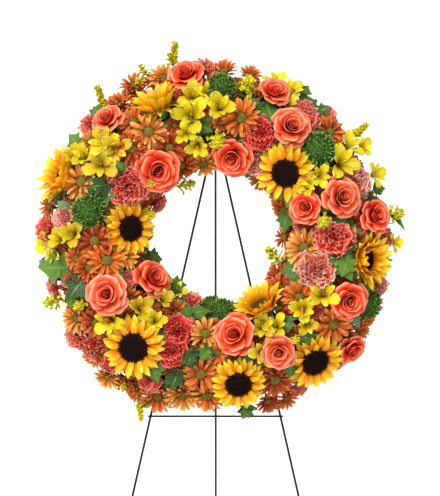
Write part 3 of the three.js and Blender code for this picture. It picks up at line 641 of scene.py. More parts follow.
def petal_material(name, heart, edge, veins, roughness, let_through, flecks=None, ribs=None):
    """heart: colour and reach of the petal's foot; edge: where the paler edge begins and ends;
    veins: their number across and their strength; flecks and ribs: their colours, if any."""
    material, tree = new_material(name)
    uv = add_node(tree, "ShaderNodeTexCoord").outputs["UV"]
    along = add_node(tree, "ShaderNodeSeparateXYZ", links={0: uv}).outputs[1]
    body_colour = attribute(tree, "body_colour", "Color")
    edge_colour = attribute(tree, "edge_colour", "Color")
    colour = mix_colours(tree, mapped(tree, along, *edge), body_colour, edge_colour)
    in_heart = mapped(tree, along, 0.0, heart[1], 0.9, 0.0)
    colour = mix_colours(tree, in_heart, colour, linear(heart[0]))
    stretch = add_node(tree, "ShaderNodeMapping", {"Scale": (veins[0], 1.2, 1.0)}, {"Vector": uv})
    streaks = add_node(tree, "ShaderNodeTexNoise", {"Scale": 1.0, "Detail": 2.0},
                       {"Vector": stretch.outputs[0]}).outputs[0]
    colour = darkened(tree, colour, mapped(tree, streaks, 0.3, 0.7, 1.0 - veins[1], 1.0))
    shade = attribute(tree, "petal_shade", "Fac")
    colour = darkened(tree, colour, mapped(tree, shade, 0.0, 1.0, *DARKEST_AND_LIGHTEST_PETAL))
    if flecks:
        colour = mix_colours(tree, fleck_amount(tree, uv, along), colour, linear(flecks))
    if ribs:
        colour = mix_colours(tree, rib_amount(tree, uv, along), colour, linear(ribs))
    surface = reflecting(tree, colour, roughness, PETAL_SHINE, streaks, 0.35, VEIN_DEPTH)
    through = add_node(tree, "ShaderNodeBsdfTranslucent", links={"Color": colour})
    both = add_node(tree, "ShaderNodeMixShader", {0: let_through},
                    {1: surface.outputs[0], 2: through.outputs[0]})
    finish_material(tree, both)
    return material


print("petal material ready")

# %% [markdown]
# Each kind of petal and leaf gets its own settings of that material, named for what it is.

# %% Petals and leaves by kind
# Waxy, thin ray petals: golden, a little orange at the foot, with clear lengthwise pleats
sunflower_petal = petal_material("thin_waxy_sunflower_petal", heart=("#E0740C", 0.34), edge=(0.35, 0.85),
                                 veins=(14, 0.24), roughness=0.5, let_through=0.25)
# Thick velvety petals: a deep red painted shade at each petal's foot, where the folds lie, and a paler
# painted highlight along the rolled lip
rose_petal = petal_material("velvety_rose_petal", heart=("#B01806", 0.62), edge=(0.68, 0.98),
                            veins=(9, 0.12), roughness=0.6, let_through=0.16)
# Crisp papery petals with pale toothed edges
carnation_petal = petal_material("papery_carnation_petal", heart=("#F03424", 0.30), edge=(0.74, 0.98),
                                 veins=(12, 0.16), roughness=0.75, let_through=0.15)
# Thin strap petals, darker at the foot, with two pleats
daisy_petal = petal_material("soft_chrysanthemum_petal", heart=("#7C2E0A", 0.36), edge=(0.45, 1.0),
                             veins=(7, 0.46), roughness=0.55, let_through=0.15)
# Shiny lily-like tepals with brown flecks on the inner three
lily_tepal = petal_material("glossy_alstroemeria_tepal", heart=("#A87E1A", 0.52), edge=(0.55, 1.0),
                            veins=(10, 0.26), roughness=0.4, let_through=0.28, flecks="#5A240C")
# Dusty florets of goldenrod, yellow over green stalks
goldenrod_floret = petal_material("dusty_goldenrod_floret", heart=("#A8B430", 0.30), edge=(0.3, 0.9),
                                  veins=(3, 0.10), roughness=0.75, let_through=0.2)
# Leathery leaves with pale ribs and a dull wax shine
leaf_skin = petal_material("waxy_green_leaf", heart=("#4E7230", 0.20), edge=(0.1, 1.0),
                           veins=(7, 0.34), roughness=0.46, let_through=0.08, ribs="#688A3C")
# Fine soft bracts of the green dianthus, pale at the tips
bract_green = petal_material("soft_green_dianthus_bract", heart=("#1C3A0C", 0.60), edge=(0.5, 1.0),
                             veins=(2, 0.10), roughness=0.65, let_through=0.2)
print(len(bpy.data.materials), "materials so far")

# %% [markdown]
# Solid things are mottled in grains: seed heads, stems, foam, and the enamel's faint orange peel.
# The grain follows the object's own metres, so a scale is the number of grains in a metre.

# %% Grained solids
def grained_material(name, dark_code, light_code, scale, roughness, relief_depth, shine=0.5):
    material, tree = new_material(name)
    place = add_node(tree, "ShaderNodeTexCoord").outputs["Object"]
    noise = add_node(tree, "ShaderNodeTexNoise", {"Scale": scale, "Detail": 3.0}, {"Vector": place})
    grains = noise.outputs[0]
    colour = mix_colours(tree, mapped(tree, grains, 0.35, 0.68), linear(dark_code), linear(light_code))
    finish_material(tree, reflecting(tree, colour, roughness, shine, grains, 0.6, relief_depth))
    return material


# Dry dark tubes of the sunflower's seed head, black-brown with a reddish bloom
seed_head = grained_material("dry_sunflower_seed_head", "#080302", "#220E07", 260, 0.9, 0.4 * MM, 0.12)
seed_rim = grained_material("pollen_rim_of_seed_head", "#1C0A04", "#552610", 300, 0.9, 0.4 * MM, 0.15)
# The same tubes still closed, in a younger head: olive-brown and fuzzy
young_seed_head = grained_material("fuzzy_olive_young_seed_head", "#2A1C08", "#6A5420", 320, 0.85, 0.5 * MM)
# Packed florets of the chrysanthemum's eye, olive with gold pollen
daisy_eye = grained_material("pollen_dusted_chrysanthemum_eye", "#4A4A10", "#9A8A22", 700, 0.8, 0.3 * MM)
# Juicy green stems and calyxes, a little mottled and smooth
green_stem = grained_material("juicy_green_stem", "#35591F", "#5E8433", 150, 0.45, 0.1 * MM)
# Baked black enamel over steel wire: satin, with a faint orange-peel skin
black_enamel = grained_material("satin_black_enamel_on_steel_wire", "#030303", "#060606", 900, 0.42,
                                0.02 * MM, 0.3)
# Moulded green plastic of the tray: dull shine, even colour
tray_plastic = grained_material("moulded_dark_green_plastic", "#123A20", "#164427", 60, 0.4, 0.02 * MM)
# Soaked floral foam: very dark green and full of fine pores
wet_foam = grained_material("soaked_green_floral_foam", "#0C2412", "#183A1E", 1100, 0.85, 0.5 * MM)
print(len(bpy.data.materials), "materials")

# %% [markdown]
# The easel, hinge, hook, tray and foam are already the right plain solids in the imported model, so
# they are kept and only painted. Their feet, bends and holes stay exactly as they are.

# %% Wires, tray and foam
CARRIED_OVER = {
    "front_leg_left": black_enamel, "front_leg_right": black_enamel, "back_leg": black_enamel,
    "hinge_pin": black_enamel, "crossbar": black_enamel, "top_hook": black_enamel,
    "ring_tray": tray_plastic, "foam_ring": wet_foam,
}
for name, material in CARRIED_OVER.items():
    painted(frame["nodes"][name], material)
print(len(CARRIED_OVER), "packed pieces painted")

# %% [markdown]
# Each kind of bloom is built once or a few times at a radius of one, facing +Z, from copies of
# its petals, and is later copied to every place in the plan. First the small common pieces: a
# stem, a green calyx, and the green leaflets behind a head.

# %% Stem, calyx and leaflets
LEAFLET_ROWS = [(0, 0.09, 0, 0), (0.2, 0.12, 0, 0.02), (0.4, 0.06, 0, 0.01), (0.55, 0.005, 0, 0)]


def open_cone(name, material, sides, foot, top, height, middle):
    """A cone or tube without ends on the Z axis, from its foot's radius to its top's."""
    bpy.ops.mesh.primitive_cone_add(vertices=sides, radius1=foot, radius2=top, depth=height,
                                    location=(0, 0, middle), end_fill_type="NOTHING")
    bpy.ops.object.transform_apply(location=True)
    cone = painted(bpy.context.object, material)
    cone.name = name
    return cone


stem_model = open_cone("stem_model", green_stem, 6, 1, 1, 1, -0.5)
calyx_model = open_cone("calyx_model", green_stem, 8, 0.05, 0.30, 0.5, -0.25)
leaflet = add_petal("leaflet", green_stem, LEAFLET_ROWS, 2)


def green_back(depth, spread, count, tilt):
    """A calyx under the head and leaflets round it, in the unit bloom."""
    under = Matrix.Translation((0, 0, depth)) @ Matrix.Diagonal((spread, spread, 1, 1))
    parts = [copy_of(calyx_model, under, 1.0)]
    for i in range(count):
        place = ring_matrix(i * 2 * math.pi / count, 0.2 * spread, depth - 0.05, tilt, 1.1)
        parts.append(copy_of(leaflet, place, 1.0))
    return parts


print("stem, calyx and leaflet")

# %% [markdown]
# A rose is a tight bud of wrapped petals inside looser ones. Each petal is bent round the axis;
# the inner ones are nearly closed tubes, the outer ones lean out and roll their lips back. Laid
# at the golden angle, they give the spiral seen from the front.

# %% Roses
ROSE_HEART_ROWS = [(0, 0.20, 0, 0), (0.3, 0.34, 0, 0), (0.6, 0.36, 0, 0), (0.80, 0.26, 0.01, 0),
                   (0.86, 0.12, 0, 0)]
ROSE_MIDDLE_ROWS = [(0, 0.14, 0, 0), (0.25, 0.36, 0.01, 0), (0.52, 0.48, 0.02, 0), (0.76, 0.44, 0, 0),
                    (0.90, 0.30, -0.04, 0), (0.94, 0.16, -0.07, 0)]
ROSE_OUTER_ROWS = [(0, 0.12, 0, 0), (0.22, 0.36, 0.02, 0.02), (0.48, 0.54, 0.04, 0.04),
                   (0.74, 0.54, 0.02, 0.0), (0.90, 0.42, -0.07, -0.04), (0.94, 0.22, -0.15, -0.06)]
ROSE_OPENNESS = (1.0, 0.85, 0.65)  # of each rose model: how far its outer petals lean out
heart_petal = add_petal("rose_heart_petal", rose_petal, ROSE_HEART_ROWS, bend=-215, smooth=1)
middle_petal = add_petal("rose_middle_petal", rose_petal, ROSE_MIDDLE_ROWS, bend=-125, smooth=1)
outer_petal = add_petal("rose_outer_petal", rose_petal, ROSE_OUTER_ROWS, bend=-75, smooth=1)


def build_rose(name, seed, openness):
    chance = random.Random(seed)
    parts = []
    # Each whorl: its petal, their number, radii, tilts and sizes from inside to outside, and height
    whorls = [(heart_petal, 7, (0.0, 0.09), (-8, 5), (0.76, 0.92), -0.42),
              (middle_petal, 8, (0.11, 0.17), (9, 24), (0.92, 1.0), -0.46),
              (outer_petal, 11, (0.15, 0.20), (30, 30 + 34 * openness), (0.98, 1.04), -0.52)]
    turn = 0
    for whorl, (petal, count, radii, tilts, sizes, height) in enumerate(whorls):
        for i in range(count):
            part = i / (count - 1)
            radius, tilt, size = [low + (high - low) * part for low, high in (radii, tilts, sizes)]
            angle = turn * GOLDEN_TURN + chance.uniform(-0.1, 0.1)
            tilt += chance.uniform(-3, 3)
            place = ring_matrix(angle, radius, height, tilt, size, chance.uniform(-7, 7))
            parts.append(copy_of(petal, place, whorl / 2))
            turn += 1
    return joined(name, parts + green_back(-0.45, 0.9, 5, 115))


rose_models = [build_rose(f"rose_model_{i}", i, openness) for i, openness in enumerate(ROSE_OPENNESS)]
print("rose:", faces(rose_models[0]), "faces")

# %% [markdown]
# A carnation is a dome of many fan petals with saw-toothed, ruffled edges. A fan is a grid that
# widens to its end; every second column of its edge is pushed out and up, which gives the teeth.

# %% Carnations
FAN_ROWS = [(0, 0.03, 0, 0), (0.3, 0.10, 0, 0), (0.55, 0.28, 0.03, 0.06), (0.70, 0.43, 0.0, -0.05),
            (0.78, 0.48, -0.07, 0.06)]
FAN_COUNT = 38
fan_petal = add_petal("carnation_fan", carnation_petal, FAN_ROWS, 8, ruffle=0.11, teeth=0.05)


def build_carnation(name, seed):
    chance = random.Random(seed)
    parts = []
    for i in range(FAN_COUNT):
        part = (i + 0.5) / FAN_COUNT
        tilt = 4 + 86 * part ** 0.75 + chance.uniform(-11, 11)
        size = 0.86 + 0.2 * part + chance.uniform(-0.10, 0.10)
        place = ring_matrix(i * GOLDEN_TURN, 0.02 + 0.10 * part, -0.40 + 0.04 * part, tilt, size,
                            chance.uniform(-45, 45))
        parts.append(copy_of(fan_petal, place, part))
    return joined(name, parts + green_back(-0.38, 0.6, 5, 40))


carnation_models = [build_carnation(f"carnation_model_{i}", 20 + i) for i in range(2)]
print("carnation:", faces(carnation_models[0]), "faces")

# %% [markdown]
# The middle of a daisy flower or sunflower is a dome with small florets stuck on in the golden
# spiral, as they really grow. The same function makes a chrysanthemum's eye and a seed head.

# %% Eyes of florets
RIM_OF_EYE = 0.74  # florets further out than this part of the eye belong to its rim
floret = open_cone("floret", seed_head, 5, 0.5, 0.14, 1, 0.5)


def build_eye(name, radius, height, count, size, floret_height, inner, rim):
    """A dome of florets on the golden spiral; the outer ones take the rim's material."""
    bpy.ops.mesh.primitive_uv_sphere_add(segments=14, ring_count=8, radius=1)
    dome = painted(bpy.context.object, inner)
    dome.data.transform(Matrix.Diagonal((radius, radius, height, 1)))
    parts = [copy_of(dome, Matrix.Identity(4))]
    bpy.data.objects.remove(dome)
    for i in range(count):
        share = math.sqrt((i + 0.5) / count)
        angle = i * GOLDEN_TURN
        spot = Vector((radius * share * math.cos(angle), radius * share * math.sin(angle),
                       height * math.sqrt(max(0.0, 1 - 0.96 * share * share))))
        out = Vector((spot.x / radius ** 2, spot.y / radius ** 2, spot.z / height ** 2)).normalized()
        painted(floret, rim if share > RIM_OF_EYE else inner)
        place = Matrix.Translation(spot - out * floret_height * 0.3) @ laid_along(out)
        parts.append(copy_of(floret, place @ Matrix.Diagonal((size, size, floret_height, 1)), share))
    return joined(name, parts)


print("eye of florets ready")

# %% [markdown]
# A chrysanthemum of the daisy form has two full rows and some short inner ones of strap petals
# round a domed eye. The small heads that only fill gaps are seen in part, so they are plainer.

# %% Chrysanthemums
STRAP_ROWS = [(0, 0.045, 0, 0.01), (0.2, 0.088, 0.015, 0.035), (0.45, 0.112, 0.02, 0.05),
              (0.68, 0.092, 0.0, 0.04), (0.80, 0.030, -0.03, 0)]
DAISY_TILTS = ((88, 78), (80, 68), (66, 54))  # of each model's two full rows; the last is half closed
strap_petal = add_petal("strap_petal", daisy_petal, STRAP_ROWS)
plain_strap = add_petal("plain_strap_petal", daisy_petal, STRAP_ROWS, 2)


def build_daisy(name, seed, tilts, petal, floret_count):
    rows = ((14, tilts[0], 1.0, 0.0), (12, tilts[1], 0.92, 0.03), (7, tilts[1] - 20, 0.7, 0.06))
    parts = petal_rows(seed, petal, rows, 0.2, 0.5, 0.09, 7, (1.0, 0.5, 0.0))
    eye = build_eye("eye", 0.25, 0.17, floret_count, 0.075, 0.07, daisy_eye, daisy_eye)
    return joined(name, parts + [eye] + green_back(-0.03, 0.8, 6, 80))


daisy_models = [build_daisy(f"daisy_model_{i}", 40 + i, tilts, strap_petal, 46)
                for i, tilts in enumerate(DAISY_TILTS)]
filler_daisies = [build_daisy(f"filler_daisy_{i}", 50 + i, tilts, plain_strap, 24)
                  for i, tilts in enumerate(DAISY_TILTS)]
print("chrysanthemum:", faces(daisy_models[0]), "faces")

# %% [markdown]
# A sunflower has three rows of pointed ray petals behind a broad dark seed head. The seed head
# is built apart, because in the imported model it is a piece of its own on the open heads. Heads
# that look away are cupped: their rays stand up round the seed head. One is a goblet, with
# tall rays and a curled back row.

# %% Sunflowers
RAY_ROWS = [(0, 0.055, 0, 0.01), (0.12, 0.10, 0.01, 0.035), (0.28, 0.128, 0.02, 0.05),
            (0.42, 0.115, 0.015, 0.045), (0.54, 0.065, -0.01, 0.02), (0.62, 0.006, -0.045, 0)]
# Each row of rays: their number, tilt, size and height
OPEN_ROWS = ((16, 93, 1.02, -0.05), (17, 82, 0.98, 0.0), (12, 60, 0.78, 0.03))
CUPPED_ROWS = ((16, 44, 1.34, -0.20), (16, 30, 1.25, -0.12), (12, 4, 0.78, 0.0))
GOBLET_ROWS = ((13, 38, 1.55, -0.22), (13, 24, 1.50, -0.12), (12, 108, 0.85, -0.12))
ray_petal = add_petal("sunflower_ray", sunflower_petal, RAY_ROWS, smooth=1)


def build_rays(name, seed, rows):
    parts = petal_rows(seed, ray_petal, rows, 0.40, 0.4, 0.06, 8, (0.0, 0.5, 1.0))
    return joined(name, parts + green_back(-0.06, 1.7, 12, 84))


ray_models = {
    "open": [build_rays("open_rays_1", 61, OPEN_ROWS), build_rays("open_rays_2", 62, OPEN_ROWS)],
    "cupped": [build_rays("cupped_rays", 63, CUPPED_ROWS)],
    "goblet": [build_rays("goblet_rays", 64, GOBLET_ROWS)],
}
seed_model = build_eye("seed_model", 0.50, 0.17, 210, 0.052, 0.07, seed_head, seed_rim)
young_seed_model = build_eye("young_seed_model", 0.42, 0.20, 150, 0.058, 0.09, young_seed_head,
                             young_seed_head)
print("sunflower:", faces(ray_models["open"][0]), "faces of rays,", faces(seed_model), "of seeds")

# %% [markdown]
# An alstroemeria is a funnel of six tepals: three broad, ruffled outer ones and three narrow
# inner ones with brown flecks, with curved stamens between them.

# %% Alstroemeria
BROAD_ROWS = [(0, 0.06, 0, 0.02), (0.25, 0.14, 0, 0.06), (0.52, 0.27, 0.02, 0.10),
              (0.80, 0.32, 0.0, 0.07), (0.97, 0.22, -0.08, -0.03), (1.04, 0.05, -0.15, -0.04)]
NARROW_ROWS = [(0, 0.05, 0, 0.02), (0.25, 0.11, 0, 0.05), (0.52, 0.19, 0.01, 0.05),
               (0.80, 0.20, -0.02, 0.03), (0.98, 0.11, -0.09, 0), (1.05, 0.01, -0.14, 0)]
STAMEN_ROWS = [(0, 0.012, 0, 0), (0.3, 0.012, 0.02, 0), (0.6, 0.012, 0.07, 0), (0.78, 0.03, 0.12, 0),
               (0.86, 0.02, 0.13, 0)]
LILY_OPENINGS = (1.0, 0.85, 1.12)  # of each model: how wide its funnel is, 1 being usual
broad_tepal = add_petal("broad_tepal", lily_tepal, BROAD_ROWS, 6, ruffle=0.06)
narrow_tepal = add_petal("narrow_tepal", lily_tepal, NARROW_ROWS)
stamen = add_petal("stamen", lily_tepal, STAMEN_ROWS, 2)


def build_lily(name, seed, opening):
    chance = random.Random(seed)
    parts = []
    whorls = ((broad_tepal, 0, 45, 1.22, 1.0), (narrow_tepal, 1, 31, 1.14, 0.0))
    for petal, start, whorl_tilt, size, depth in whorls:
        for i in range(3):
            turn = (2 * i + start) * math.pi / 3 + chance.uniform(-0.1, 0.1)
            tilt = whorl_tilt * opening + chance.uniform(-5, 5)
            parts.append(copy_of(petal, ring_matrix(turn, 0.05, -0.6, tilt, size), depth))
    for i in range(6):
        place = ring_matrix(i * math.pi / 3 + 0.3, 0.03, -0.5, 12 + chance.uniform(-5, 9), 0.95)
        parts.append(copy_of(stamen, place, 1.0))
    return joined(name, parts + green_back(-0.5, 0.45, 0, 40))


lily_models = [build_lily(f"lily_model_{i}", 80 + i, opening) for i, opening in enumerate(LILY_OPENINGS)]
print("alstroemeria:", faces(lily_models[0]), "faces")

# %% [markdown]
# Goldenrod is a plume: a thin stalk with side twigs that arch out and carry small florets. It
# runs from 0.9 below its middle to 0.9 above, and a spire is the same with short twigs.

# %% Goldenrod
PUFF_ROWS = [(0, 0.015, 0, 0), (0.045, 0.035, 0, 0.012), (0.085, 0.008, -0.01, 0)]
TWIG_ROWS = [(0, 0.016, 0, 0.008), (0.5, 0.012, 0.0, 0.006), (1, 0.006, 0, 0)]
PUFFS_ON_A_TWIG = 14
puff = add_petal("goldenrod_puff", goldenrod_floret, PUFF_ROWS, 2)
twig = add_petal("goldenrod_twig", green_stem, TWIG_ROWS, 2)


def build_plume(name, seed, twigs, reach):
    """reach is how far the lowest twigs stand out from the stalk."""
    chance = random.Random(seed)
    parts = [copy_of(twig, Matrix.Translation((0, 0, -0.9)) @ Matrix.Diagonal((2.4, 2.4, 1.75, 1)))]
    for i in range(twigs):
        part = i / (twigs - 1)
        foot = Vector((0, 0, -0.55 + 1.35 * part))
        length = reach * (1.0 - 0.72 * part) * chance.uniform(0.85, 1.1)
        turn = i * GOLDEN_TURN
        out = Vector((math.cos(turn), math.sin(turn), 0))
        tip = foot + out * length + Vector((0, 0, 0.38 * length + 0.08))
        place = Matrix.Translation(foot) @ laid_along(tip - foot)
        parts.append(copy_of(twig, place @ Matrix.Diagonal((1, 1, (tip - foot).length, 1))))
        for k in range(PUFFS_ON_A_TWIG):
            step = k / (PUFFS_ON_A_TWIG - 1)
            spot = foot.lerp(tip, 0.12 + 0.9 * step) + Vector((0, 0, 0.05 * math.sin(math.pi * step)))
            lean = Vector((chance.gauss(0, 1), chance.gauss(0, 1), chance.gauss(0.7, 0.6)))
            lay = Matrix.Translation(spot) @ laid_along(lean.normalized())
            parts.append(copy_of(puff, lay @ Matrix.Scale(chance.uniform(1.6, 2.5), 4), part))
            lay = lay @ Matrix.Rotation(chance.uniform(1, 2), 4, "Z") @ Matrix.Rotation(0.9, 4, "X")
            parts.append(copy_of(puff, lay @ Matrix.Scale(chance.uniform(1.5, 2.3), 4), part))
    return joined(name, parts)


plume_models = [build_plume("plume_model_1", 91, 16, 0.62), build_plume("plume_model_2", 92, 18, 0.72)]
spire_model = build_plume("spire_model", 93, 26, 0.28)
print("plume:", faces(plume_models[0]), "faces")

# %% [markdown]
# The green dianthus ball is a tight globe of soft green bracts on a small round core.

# %% Dianthus balls
BRACT_ROWS = [(0, 0.05, 0, 0.01), (0.14, 0.045, 0, 0.012), (0.30, 0.004, 0.03, 0)]
BRACT_COUNT = 420
CORE_RADIUS = 0.78
bract = add_petal("dianthus_bract", bract_green, BRACT_ROWS, 2)


def build_ball(name, seed, count):
    chance = random.Random(seed)
    bpy.ops.mesh.primitive_ico_sphere_add(subdivisions=2, radius=CORE_RADIUS)
    core = painted(bpy.context.object, bract_green)
    parts = [copy_of(core, Matrix.Identity(4))]
    bpy.data.objects.remove(core)
    for i in range(count):
        height = 1 - 1.85 * (i + 0.5) / count
        flat = math.sqrt(1 - height * height)
        out = Vector((flat * math.cos(i * GOLDEN_TURN), flat * math.sin(i * GOLDEN_TURN), height))
        lean = (out + 0.35 * Vector([chance.gauss(0, 1) for _ in range(3)])).normalized()
        lay = laid_along(lean) @ Matrix.Rotation(chance.uniform(0, 6.2), 4, "Z")
        lay = Matrix.Translation(out * 0.74) @ lay @ Matrix.Scale(chance.uniform(0.85, 1.15), 4)
        parts.append(copy_of(bract, lay, 0.5))
    return joined(name, parts)


ball_model = build_ball("ball_model", 95, BRACT_COUNT)
print("ball:", faces(ball_model), "faces")

# %% [markdown]
# Three leaf forms: a lobed ivy leaf, a plain pointed leaf and a long blade. They are cut like the
# petals, with a fold along the midrib and a drooping tip.

# %% Leaves
IVY_ROWS = [(0, 0.03, 0, 0), (0.04, 0.20, 0.01, 0.02), (0.14, 0.46, 0.02, 0.04), (0.22, 0.54, 0.02, 0.03),
            (0.28, 0.32, 0.03, 0.03), (0.38, 0.25, 0.03, 0.03), (0.50, 0.38, 0.03, 0.04),
            (0.60, 0.46, 0.02, 0.03), (0.65, 0.25, 0.01, 0.02), (0.82, 0.13, -0.04, 0.01),
            (1.0, 0.005, -0.10, 0)]
OVAL_ROWS = [(0, 0.03, 0, 0), (0.15, 0.17, 0.01, 0.03), (0.35, 0.28, 0.03, 0.05),
             (0.58, 0.27, 0.02, 0.04), (0.80, 0.15, -0.02, 0.02), (1.0, 0.005, -0.09, 0)]
BLADE_ROWS = [(0, 0.02, 0, 0.01), (0.25, 0.09, 0.02, 0.03), (0.5, 0.11, 0.03, 0.03),
              (0.75, 0.07, 0.0, 0.02), (1.0, 0.004, -0.08, 0)]
leaf_models = {"ivy": add_petal("ivy_leaf", leaf_skin, IVY_ROWS, 6),
               "oval": add_petal("oval_leaf", leaf_skin, OVAL_ROWS),
               "blade": add_petal("blade_leaf", leaf_skin, BLADE_ROWS)}


def leaf_lay(tilt, length):
    """Lays a leaf of a length over the head's middle, in units of its radius, towards +Y."""
    return (Matrix.Translation((0, -length / 2, -0.15)) @ Matrix.Rotation(-math.radians(tilt), 4, "X")
            @ Matrix.Scale(length, 4))


print("leaf forms:", ", ".join(leaf_models))

# %% [markdown]
# Now the planting. A head faces straight out of the arch and a little to the front, as cut
# flowers turn their heads up. Some heads and sprigs are turned another way in the photograph,
# and are listed with their own directions.

# %% Where a head goes and looks
TURN_TO_FRONT = 0.30  # the front's share in where a head looks
RIM_TURN_TO_FRONT = 0.45  # added for heads at the rim, which would else be seen edge on
SPRIG_TO_FRONT = 0.25
BACK_CLEARANCE = 6 * MM  # no petal reaches further back than this in front of the legs' axes
# How far a kind's heads stand above or below the arch, in millimetres
STAND = {"sunflower": 3, "roses": 14, "carnations": 3, "daisies": -5, "alstroemeria": 10, "goldenrod": 8,
         "greenery": -1}
# A finer head's radius, in parts of its radius in the plan
SIZE = {"sunflower": 1.06, "roses": 1.10, "carnations": 1.18, "daisies": 1.20, "alstroemeria": 1.32,
        "goldenrod": 1.25, "greenery": 1.15}
# Heads that aren't open: how far they look outwards and to the front, their form and size, and
# how far they are moved inwards
CUPPED_SUNFLOWERS = {
    (292, 305): (0.85, 0.42, "cupped", 0.96, 0), (98, 290): (0.75, 0.58, "cupped", 0.96, 10 * MM),
    (337, 268): (1.0, 0.24, "goblet", 1.0, 0), (145, 158): (-0.85, 0.55, "cupped", 1.0, 0),
}
# Sprigs at the edges lie in the wreath's plane: how far they point across and up, their size,
# and how far they are pushed inwards
EDGE_SPRIGS = {
    (329, 121): (1.0, 0.1, 1.15, -5 * MM), (108, 124): (-0.65, 0.75, 1.15, -5 * MM),
    (204, 352): (0.15, -1.0, 0.80, 10 * MM), (337, 339): (-0.5, 0.8, 0.85, 10 * MM),
    (320, 331): (-0.35, 0.95, 1.0, 4 * MM), (347, 352): (0.12, 1.0, 0.95, 9 * MM),
}


def head_frame(centre, facing, along, spin, size):
    """The place of a unit head: +Z towards facing, +Y as near to along as it can be."""
    top = facing.normalized()
    ahead = along - top * along.dot(top)
    if ahead.length < 1e-6:
        ahead = top.orthogonal()
    ahead.normalize()
    side = ahead.cross(top)
    turn = Matrix((side, ahead, top)).transposed().to_4x4()
    return Matrix.Translation(centre) @ turn @ Matrix.Rotation(spin, 4, "Z") @ Matrix.Scale(size, 4)


def head_place(bloom):
    """Where a bloom's head is, where it looks, its radius, and the form of a sunflower."""
    spot, over = bloom["plan"][:2], bloom["over"]
    radius = bloom["radius"] * SIZE[bloom["kind"]]
    away = bloom["away"] + STAND[bloom["kind"]] * MM
    centre = arch_point(bloom["clock"], over, away)
    normal = (arch_point(bloom["clock"], over, away + 1) - centre).normalized()
    outward = outwards(bloom["clock"])
    facing = (normal + FRONT * (TURN_TO_FRONT + RIM_TURN_TO_FRONT * math.sin(over) ** 4)).normalized()
    form, share, inwards = "open", 1.0, 0.0
    if spot in CUPPED_SUNFLOWERS:
        look_out, look_front, form, share, inwards = CUPPED_SUNFLOWERS[spot]
        facing = (outward * look_out + FRONT * look_front).normalized()
    if spot in EDGE_SPRIGS:
        look_across, look_up, share, inwards = EDGE_SPRIGS[spot]
        facing = (ACROSS * look_across + UP * look_up + FRONT * SPRIG_TO_FRONT).normalized()
    centre = centre - outward * inwards
    radius = radius * share
    back_reach = radius * math.sqrt(max(0.0, 1 - facing.dot(FRONT) ** 2))
    to_front = (centre - WREATH_CENTRE).dot(FRONT)
    centre = centre + FRONT * max(0.0, BACK_CLEARANCE + back_reach - to_front)
    return centre, facing, radius, form


print("heads can be placed")

# %% [markdown]
# Each bloom is a copy of its model with a mesh of its own. Its stem runs straight back from the
# head's base to the middle line of the foam and ends just inside it.

# %% Planting one bloom
STEM_END = 24 * MM
# The radius of a kind's stems, in millimetres
STEM_RADIUS = {"sunflower": 3.6, "roses": 2.2, "carnations": 1.6, "daisies": 1.5, "alstroemeria": 1.4,
               "goldenrod": 1.1, "greenery": 1.0}
# Where a stem begins behind the middle of its head, in parts of the head's radius
STEM_START = {"goldenrod": 0.85}
USUAL_STEM_START = 0.45
BALL_SHARE = 0.98
NOD = 0.10  # how far a head strays from where it should look
# Blooms with a form of their own, by their clock angle and distance in the plan
YOUNG_SUNFLOWER = (145, 158)
HALF_OPEN_ROSE = (22, 285)
SPIRES = [(347, 352), (320, 331), (53, 327), (204, 352)]
BLADES = [(85, 345), (97, 322)]
RIM_DISTANCE = 300  # daisies further out than this are the half-closed ones
INNER_DISTANCE = 200  # leaves that aren't further out than this point into the hole
chance = random.Random(5)


def stem_to_foam(base, clock, over, radius):
    way = base - arch_point(clock, over, STEM_END)
    place = Matrix.Translation(base) @ laid_along(way)
    return copy_of(stem_model, place @ Matrix.Diagonal((radius, radius, way.length, 1)), 1.0)


def chosen_model(bloom):
    kind, spot = bloom["kind"], bloom["plan"][:2]
    if kind == "daisies":
        models = filler_daisies if bloom["plan"][2] == 0 else daisy_models
        return models[2] if spot[1] > RIM_DISTANCE else models[chance.randrange(2)]
    if kind == "roses":
        return rose_models[2] if spot == HALF_OPEN_ROSE else rose_models[chance.randrange(2)]
    return chance.choice(carnation_models if kind == "carnations" else lily_models)


def planted_leaves(bloom, centre, facing, radius):
    """Two leaves on one stem, the second smaller and turned aside."""
    form = "oval" if "silver" in bloom["tone"] else "ivy"
    if bloom["plan"][:2] in BLADES:
        form = "blade"
    outward = outwards(bloom["clock"])
    along = outward if bloom["plan"][1] > INNER_DISTANCE else -outward
    swing = chance.uniform(-1.2, 1.2)
    parts = []
    for turn, share in ((swing, 1.0), (swing + chance.choice((-0.9, 0.9)), 0.75)):
        place = head_frame(centre, facing, along, turn, radius * share)
        place = place @ leaf_lay(chance.uniform(60, 78), 2.2)
        parts.append(copy_of(leaf_models[form], place, colours=TONE_CODES[bloom["tone"]]))
    return parts


